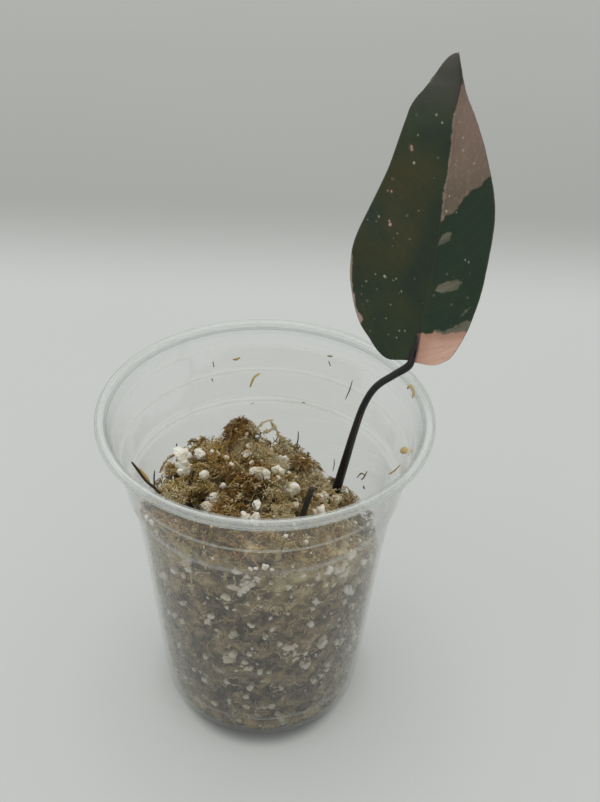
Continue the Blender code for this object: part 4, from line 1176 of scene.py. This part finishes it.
def makeMossAtWall(finish):
    # Tufts on a honeycomb wrapped round the wall. Their sprigs lie against it and bend along it.
    dice = np.random.default_rng(12)
    radius, tall, bottom = moss["wallRadius"], moss["wallHeight"], moss["wallStart"]
    places = evenPlaces(2 * np.pi * radius, tall, moss["wallGap"], dice)
    places = np.repeat(places, moss["wallSprigs"], axis=0)
    count = len(places)
    turn = places[:, 0] / radius
    out = outwardAt(turn)
    height = bottom + np.clip(places[:, 1] / tall, 0, 1) * (wallTop(out) - moss["wallUnder"] - bottom)
    level = np.column_stack([-out[:, 1], out[:, 0], 0 * turn])
    up = np.array([0, 0, 1.0])
    tilt = dice.uniform(0, 2 * np.pi, (count, 1))
    plane = np.cos(tilt) * level + np.sin(tilt) * up
    depth = dice.uniform(*moss["wallDepth"], count)
    starts = out * (mixRadius(height) - depth)[:, None] + height[:, None] * up
    starts += plane * dice.uniform(0, moss["wallSpread"], (count, 1))
    directions = unit(plane + dice.uniform(*moss["wallOutward"], (count, 1)) * out)
    sideways = np.cross(directions, out) * dice.choice([-1.0, 1.0], (count, 1))
    asides = sideways + moss["scatter"] * dice.normal(size=(count, 3))
    # darker and duller towards the bottom, where the mix is wet
    dry = dryShare(height)
    golden = np.clip((height - moss["goldenFrom"]) / moss["goldenOver"], 0, 1)
    paler, rustier = patchShift(starts)
    mean, spread, whenDry, whereGolden = moss["wallShade"]
    shade = dice.normal(mean, spread, count) + whenDry * dry + whereGolden * golden
    shade = shade + clumpShade(starts) + paler
    mean, spread, whenDry, whereGolden, waved = moss["wallWarmth"]
    warmth = dice.normal(mean, spread, count) + whenDry * dry + whereGolden * golden
    warmth = warmth + waved * waves(starts, 11, 6) + rustier
    lengths, bends = dice.uniform(*moss["lengths"], count), dice.uniform(*moss["bends"], count)
    parts = sprigs(starts, directions, asides, lengths, bends, dice)
    return mossPiece("mossAtWall", parts, shade, warmth, finish, moss["wallSlack"], dice)


# Sphagnum moss: dry papery strands, from olive straw to rust, matt, with paler frayed leaflet ends
mossFinish, tree, place = newFinish("drySphagnumMoss")
flecked = slope(tree, noise(tree, place, 260.0, 3.0), 0.0, 1.0, -0.2, 0.08)
shade = mathOf(tree, "ADD", numberOf(tree, "shade"), flecked)
shade = mathOf(tree, "MULTIPLY_ADD", numberOf(tree, "tips"), 0.25, shade)
olive = toneRamp(tree, shade, moss["oliveTones"])
rust = toneRamp(tree, shade, moss["rustTones"])
straw = mixTones(tree, numberOf(tree, "warmth"), olive, rust)
# wet moss low in the cup is greyer, in patches about 12 mm wide
level = addNode(tree, "ShaderNodeSeparateXYZ", {}, {0: place}).outputs["Z"]
greyTop, vividFrom = moss["greyHeights"]
vivid = slope(tree, level, greyTop * mm, vividFrom * mm, *moss["vividness"])
vivid = mathOf(tree, "MULTIPLY_ADD", noise(tree, place, 80.0, 2.0), 0.5, vivid)
coat = addNode(tree, "ShaderNodeHueSaturation", {}, {"Saturation": vivid, "Color": straw}).outputs[0]
through = addNode(tree, "ShaderNodeBsdfTranslucent", {}, {"Color": coat}).outputs[0]
endFinish(tree, mixShaders(tree, moss["lightThrough"], skinOf(tree, coat, 0.8, specular=0.25), through))
makeMossOnHeap(mossFinish)
makeMossTufts(mossFinish)
makeMossAtWall(mossFinish)


# Loose bits: a bark stick, a pale curl of moss, hairs, and crumbs that cling to the wall

bits = {
    "frayed": [  # points of strands with leaflets, shade and warmth
        ([(-3.4, 8.2, 89.5), (-2.6, 8.6, 92.6), (-0.9, 9.0, 95.0), (1.0, 9.2, 95.9), (2.3, 9.0, 94.4),
          (1.5, 8.8, 92.4), (0.2, 8.7, 92.2)], 1.5, 0.1),
        ([(1.9, 8.9, 95.3), (3.3, 8.7, 92.8), (4.4, 8.9, 90.2), (6.4, 9.4, 87.0),
          (8.4, 9.8, 82.6)], 1.3, 0.2),
        ([(-31.0, -4.0, 86.0), (-28.6, -2.0, 89.6), (-25.4, -1.0, 91.0)], 0.7, 0.3)],
    "frayedLeaflets": 0.75,
    "frayedLength": 1.6,  # of a sprig, in steps of its strand
    "frayedBends": (0.3, 1.0),
    "toWall": 0.35,  # beyond the mix's reach
    "endTaper": 0.6,  # share of its radius that a bit has at both ends
    "loose": [  # points of its line, radius, flatness, shade and warmth
        ([(-39.5, 0.6, 86.2), (-37.8, -3.2, 87.2), (-34.4, -9.6, 87.8), (-31.0, -13.2, 87.4),
          (-28.0, -16.4, 85.8)],
         0.4, 1.0, -0.35, 0.6),
        ([(-38.0, -2.4, 86.6), (-36.4, -5.0, 87.4), (-34.8, -7.4, 87.6),
          (-33.4, -9.4, 87.2)], 0.5, 0.35, 0.6, 0.15),
        ([(-31.8, -10.9, 86.4), (-32.0, -9.5, 88.6), (-31.8, -8.2, 90.4)], 0.24, 1.0, -0.35, 0.3),
        ([(42.4, 14.0, 104.8), (42.6, 13.6, 105.9), (43.2, 13.2, 106.3), (43.7, 12.2, 105.8),
          (43.8, 11.0, 104.9), (43.5, 10.4, 104.1)], 0.5, 0.8, 0.95, 0.15),
        ([(-25.9, 2.6, 87.2), (-26.1, 3.6, 89.4), (-26.4, 4.2, 90.6)], 0.26, 1.0, -0.35, 0.3)],
    "onWall": [  # the same, pressed to the inside of the wall
        ([(11.0, 36.2, 71.0), (10.9, 35.7, 67.6), (10.1, 35.4, 63.5)], 0.2, 1.0, -0.1, 0.3),
        ([(22.9, 29.2, 65.2), (23.2, 29.0, 63.0), (22.6, 28.6, 60.5)], 0.15, 1.0, 0.2, 0.3),
        ([(27.5, 32.5, 94.5), (26.7, 32.1, 90.9), (25.6, 32.2, 87.3)], 0.17, 1.0, 0.0, 0.3),
        ([(-5.1, 40.6, 85.8), (-4.6, 41.0, 87.6), (-3.7, 41.3, 89.4),
          (-2.1, 41.5, 90.5)], 0.62, 0.6, 0.85, 0.1),
        ([(-10.7, 41.4, 95.9), (-9.6, 41.7, 95.8), (-8.5, 41.8, 96.3)], 0.5, 0.5, 0.6, 0.2),
        ([(-17.0, 39.2, 96.3), (-16.8, 39.2, 94.4)], 0.28, 0.8, 0.0, 0.5),
        ([(-17.5, 37.8, 90.8), (-17.1, 37.8, 89.8)], 0.3, 0.8, 0.3, 0.5),
        ([(19.6, 38.5, 99.7), (20.9, 37.8, 99.9)], 0.5, 0.5, 0.4, 0.1),
        ([(20.0, 38.0, 98.0), (20.6, 37.6, 96.6)], 0.4, 0.5, 0.35, 0.1),
        ([(41.3, 3.7, 89.6), (42.0, 1.6, 91.2), (42.4, -0.6, 92.4)], 1.2, 0.4, 0.9, 0.3),
        ([(30.2, 21.2, 64.1), (31.3, 20.2, 66.6), (32.4, 18.5, 67.3)], 0.3, 0.8, 0.5, 0.1),
        ([(31.4, 19.6, 64.6), (32.2, 18.9, 66.0), (32.9, 18.1, 69.2)], 0.3, 0.8, 0.35, 0.1),
        ([(32.1, 17.9, 63.3), (32.5, 17.3, 62.7)], 0.5, 0.6, 0.1, 0.3),
        ([(38.4, 5.7, 78.5), (39.4, 4.6, 80.0), (39.8, 4.0, 81.5), (41.0, 1.4, 85.6)], 0.28, 0.8, 0.8, 0.2),
        ([(12.1, 38.2, 81.5), (12.9, 37.9, 81.5)], 0.4, 0.6, 0.5, 0.1),
        ([(-4.8, 39.0, 80.1), (-3.9, 39.1, 80.2)], 0.3, 0.5, 0.55, 0.1)],
}


def makeBits(finish):
    # each bit is a pointed tube on a smooth curve, flattened to an ellipse
    shapes, tones = [], []
    dice = np.random.default_rng(15)
    for line, shade, warmth in bits["frayed"]:
        line = curveThrough(line, 4)
        steps = np.diff(line, axis=0)
        lengths = np.linalg.norm(steps, axis=1)
        asides = dice.normal(size=steps.shape)
        bends = dice.uniform(*bits["frayedBends"], len(steps))
        shapes.append(sprigs(line[:-1], unit(steps), asides, bits["frayedLength"] * lengths, bends, dice,
                             bits["frayedLeaflets"])[:2])
        tones.append((shade, warmth))
    for key in ("loose", "onWall"):
        for line, radius, flat, shade, warmth in bits[key]:
            line = np.array(line)
            if key == "onWall":
                away = mixRadius(line[:, 2]) + bits["toWall"] - radius * flat
                line[:, :2] *= (away / np.hypot(line[:, 0], line[:, 1]))[:, None]
            atEnd = np.arange(len(line)) % (len(line) - 1) == 0
            widths = radius * np.where(atEnd, bits["endTaper"], 1.0)
            shapes.append(tubeThrough(line, widths, 8, 8, flat))
            tones.append((shade, warmth))
    shades, warmths = np.repeat(tones, [len(points) for points, faces in shapes], axis=0).T
    return meshPiece("looseBits", *joined(shapes), finish, "moss_and_perlite",
                     {"shade": shades, "warmth": warmths, "tips": 0 * shades})


makeBits(mossFinish)


# Perlite

perlite = {
    "tall": [  # x, y, radius, and how far its middle is over the heap
        (-23.0, -4.6, 2.0, -0.2), (-23.8, -3.0, 2.5, 1.2), (-24.4, -1.6, 2.4, 3.0)],
    "big": [  # x, y and radius on the heap
        (-19.2, 0.1, 2.2), (-17.6, -7.8, 1.6), (-5.6, 1.2, 1.7), (-4.8, 3.1, 1.0), (5.3, 9.8, 2.0),
        (6.8, 8.4, 1.4), (-1.1, -7.2, 2.3), (-3.4, -6.6, 1.7), (4.2, -3.4, 1.9), (-14.5, -15.0, 2.2),
        (-16.3, -19.0, 2.2), (-18.8, -18.4, 1.6), (-2.1, -17.1, 2.1), (-5.2, -21.3, 1.6),
        (-2.4, -21.9, 1.6), (8.0, -7.6, 2.2), (8.9, -13.2, 1.4), (16.0, -14.0, 1.6), (21.8, 0.5, 2.0),
        (18.2, 0.5, 2.4), (16.4, -2.4, 1.5), (7.0, 3.0, 0.9), (9.2, 1.8, 0.9), (-12.0, -10.5, 1.1)],
    "sink": -0.3,  # how far over the heap a grain's middle is, in its own radii
    "shrink": 0.9,
    "onHeap": 70,
    "onHeapReach": 36,
    "onHeapLift": 0.1,
    "onHeapSizes": (0.3, 0.6, 1.6),  # least radius, what chance adds, and the power that makes most small
    "atWall": 460,
    "atWallSizes": (0.4, 1.0, 2.4),
    "atWallFrom": 2.5,  # lowest height
    "atWallMargins": 3.5,  # what the lowest and the highest together leave free
    "atWallSink": 0.5,  # how far a grain's middle is from the mix's edge, in radii
    "bigWallSink": 0.7,
    "bigAtWall": [(-5.1, -37.7, 72.8, 2.1), (-6.4, -37.2, 70.4, 1.3), (-22.7, -30.8, 74.8, 1.4),
                  (-10.6, -32.7, 36.4, 2.0), (13.9, -31.0, 32.5, 1.7), (23.2, -30.1, 72.7, 1.7),
                  (19.0, -33.0, 74.4, 1.1), (15.6, -34.6, 73.8, 1.0), (-26.4, -26.4, 67.2, 1.2),
                  (18.8, -29.1, 40.2, 1.5), (-9.3, -34.2, 48.6, 1.0), (15.8, -33.0, 61.4, 1.1),
                  (25.9, -25.5, 59.2, 1.3), (6.5, -30.5, 6.5, 1.3), (-3.7, -33.1, 24.2, 1.3)],
    "bigRough": (0.11, 0.075),  # lobes and crumbs, in shares of the radius
    "wallRough": 0.13,
    "waveCounts": (2.3, 5.0, 9.0),  # lobes, crumbs and finer crumbs round a grain
    "stretch": (0.7, 1.2),
    "soilUnder": (4.0, 0.6),  # soil is the depth under the heap over the first, less the second
    "soilShares": (0.6, 0.5),  # its share at height 0, and what is lost up to the height below
    "soilHeight": 80,
    "tones": [(0.28, "#b39f7c"), (0.4, "#d3c8b2"), (0.52, "#e2dccf"), (0.7, "#efece6")],
    "soilTone": "#8d8069",
}


def grains(centres, radii, rings, sides, dice, rough=0.1, crumb=0.0):
    # Balls with poles: each point's direction times the radius, its own stretch and sums of sine waves,
    # long ones for the lobes and short ones for the crumbly skin
    high = np.linspace(0, np.pi, rings + 2)[1:-1, None]
    turn = np.arange(sides)[None] * 2 * np.pi / sides
    ball = np.stack([np.sin(high) * np.cos(turn), np.sin(high) * np.sin(turn), np.cos(high) + 0 * turn], -1)
    ball = np.vstack([[0, 0, 1.0], ball.reshape(-1, 3), [0, 0, -1.0]])
    count = len(centres)
    swell = 1.0
    lobes = perlite["waveCounts"][0]
    for size, amount in zip(perlite["waveCounts"], (rough, crumb, 0.5 * crumb)):
        pushes = dice.normal(size=(count, 8, 3)) * size
        phases = dice.uniform(0, anyPhase, (count, 1, 8))
        rise = np.sin(np.einsum("nkc,vc->nvk", pushes, ball) + phases).sum(-1)
        swell = swell + amount * (rise if size == lobes else 1.6 - abs(rise))
    shaped = ball[None] * swell[..., None] * dice.uniform(*perlite["stretch"], (count, 1, 3))
    spin = np.linalg.qr(dice.normal(size=(count, 3, 3)))[0]
    spin *= np.sign(np.linalg.det(spin))[:, None, None]
    points = np.einsum("nvc,ncd->nvd", shaped, spin) * np.asarray(radii)[:, None, None] + centres[:, None]
    faces = poleFaces(rings, sides)[:, ::-1][None] + (np.arange(count) * len(ball))[:, None, None]
    return points.reshape(-1, 3), faces.reshape(-1, 3)


def mostlySmall(sizes, count, dice):
    # the least size plus a power of chance times the rest
    least, rest, power = sizes
    return least + rest * dice.uniform(0, 1, count) ** power


def makePerlite(finish):
    # the big grains of the lists, then small ones strewn on the heap and behind the wall
    dice = np.random.default_rng(21)
    big = np.array(perlite["big"]) * (1, 1, perlite["shrink"])
    bigCentres = np.column_stack([big[:, :2], heapHeight(big[:, 0], big[:, 1]) + perlite["sink"] * big[:, 2]])
    tall = np.array(perlite["tall"])
    tallCentres = np.column_stack([tall[:, :2], heapHeight(tall[:, 0], tall[:, 1]) + tall[:, 3]])
    bigWall = np.array(perlite["bigAtWall"])
    reach = mixRadius(bigWall[:, 2]) - bigWall[:, 3] * perlite["bigWallSink"]
    wallCentres = unit(bigWall[:, :3] * (1, 1, 0)) * reach[:, None] + bigWall[:, :3] * (0, 0, 1)
    centres = np.vstack([bigCentres, tallCentres, wallCentres])
    radii = np.concatenate([big[:, 2], tall[:, 2], bigWall[:, 3]])
    parts = [grains(centres, radii, 28, 40, dice, *perlite["bigRough"])]
    count = perlite["onHeap"]
    turn = dice.uniform(0, 2 * np.pi, count)
    reach = perlite["onHeapReach"] * np.sqrt(dice.uniform(0, 1, count))
    flat = np.column_stack([reach * np.cos(turn), reach * np.sin(turn)])
    size = mostlySmall(perlite["onHeapSizes"], count, dice)
    spots = np.column_stack([flat, heapHeight(*flat.T) + perlite["onHeapLift"]])
    parts.append(grains(spots, size, 5, 8, dice))
    count = perlite["atWall"]
    turn = dice.uniform(0, 2 * np.pi, count)
    out = outwardAt(turn)
    free = wallTop(out) - perlite["atWallMargins"]
    height = perlite["atWallFrom"] + free * dice.uniform(0, 1, count)
    radii = mostlySmall(perlite["atWallSizes"], count, dice)
    spots = out * (mixRadius(height) - radii * perlite["atWallSink"])[:, None] + height[:, None] * (0, 0, 1)
    parts.append(grains(spots, radii, 6, 9, dice, perlite["wallRough"]))
    points, faces = joined(parts)
    points = insideCup(points, 0.02)
    # cleaner on the heap, and more soiled the lower a grain lies behind the wall
    under = heapHeight(points[:, 0], points[:, 1]) - points[:, 2]
    depth, start = perlite["soilUnder"]
    most, lost = perlite["soilShares"]
    soil = np.clip(under / depth - start, 0, 1)
    soil = soil * (most - lost * np.clip(points[:, 2] / perlite["soilHeight"], 0, 1))
    return meshPiece("perliteGrains", points, faces, finish, "moss_and_perlite", {"soil": soil})


# Perlite: puffed volcanic glass, chalky white with fine pits and a brown stain from the wet moss
chalkyPerlite, tree, place = newFinish("puffedPerlite")
clean = toneRamp(tree, noise(tree, place, 330.0, 4.0), perlite["tones"])
coat = mixTones(tree, numberOf(tree, "soil"), clean, perlite["soilTone"])
pits = noise(tree, place, 1500.0, 3.0)
endFinish(tree, skinOf(tree, coat, 0.85, reliefOf(tree, pits, 0.7, 0.4), specular=0.2))
makePerlite(chalkyPerlite)
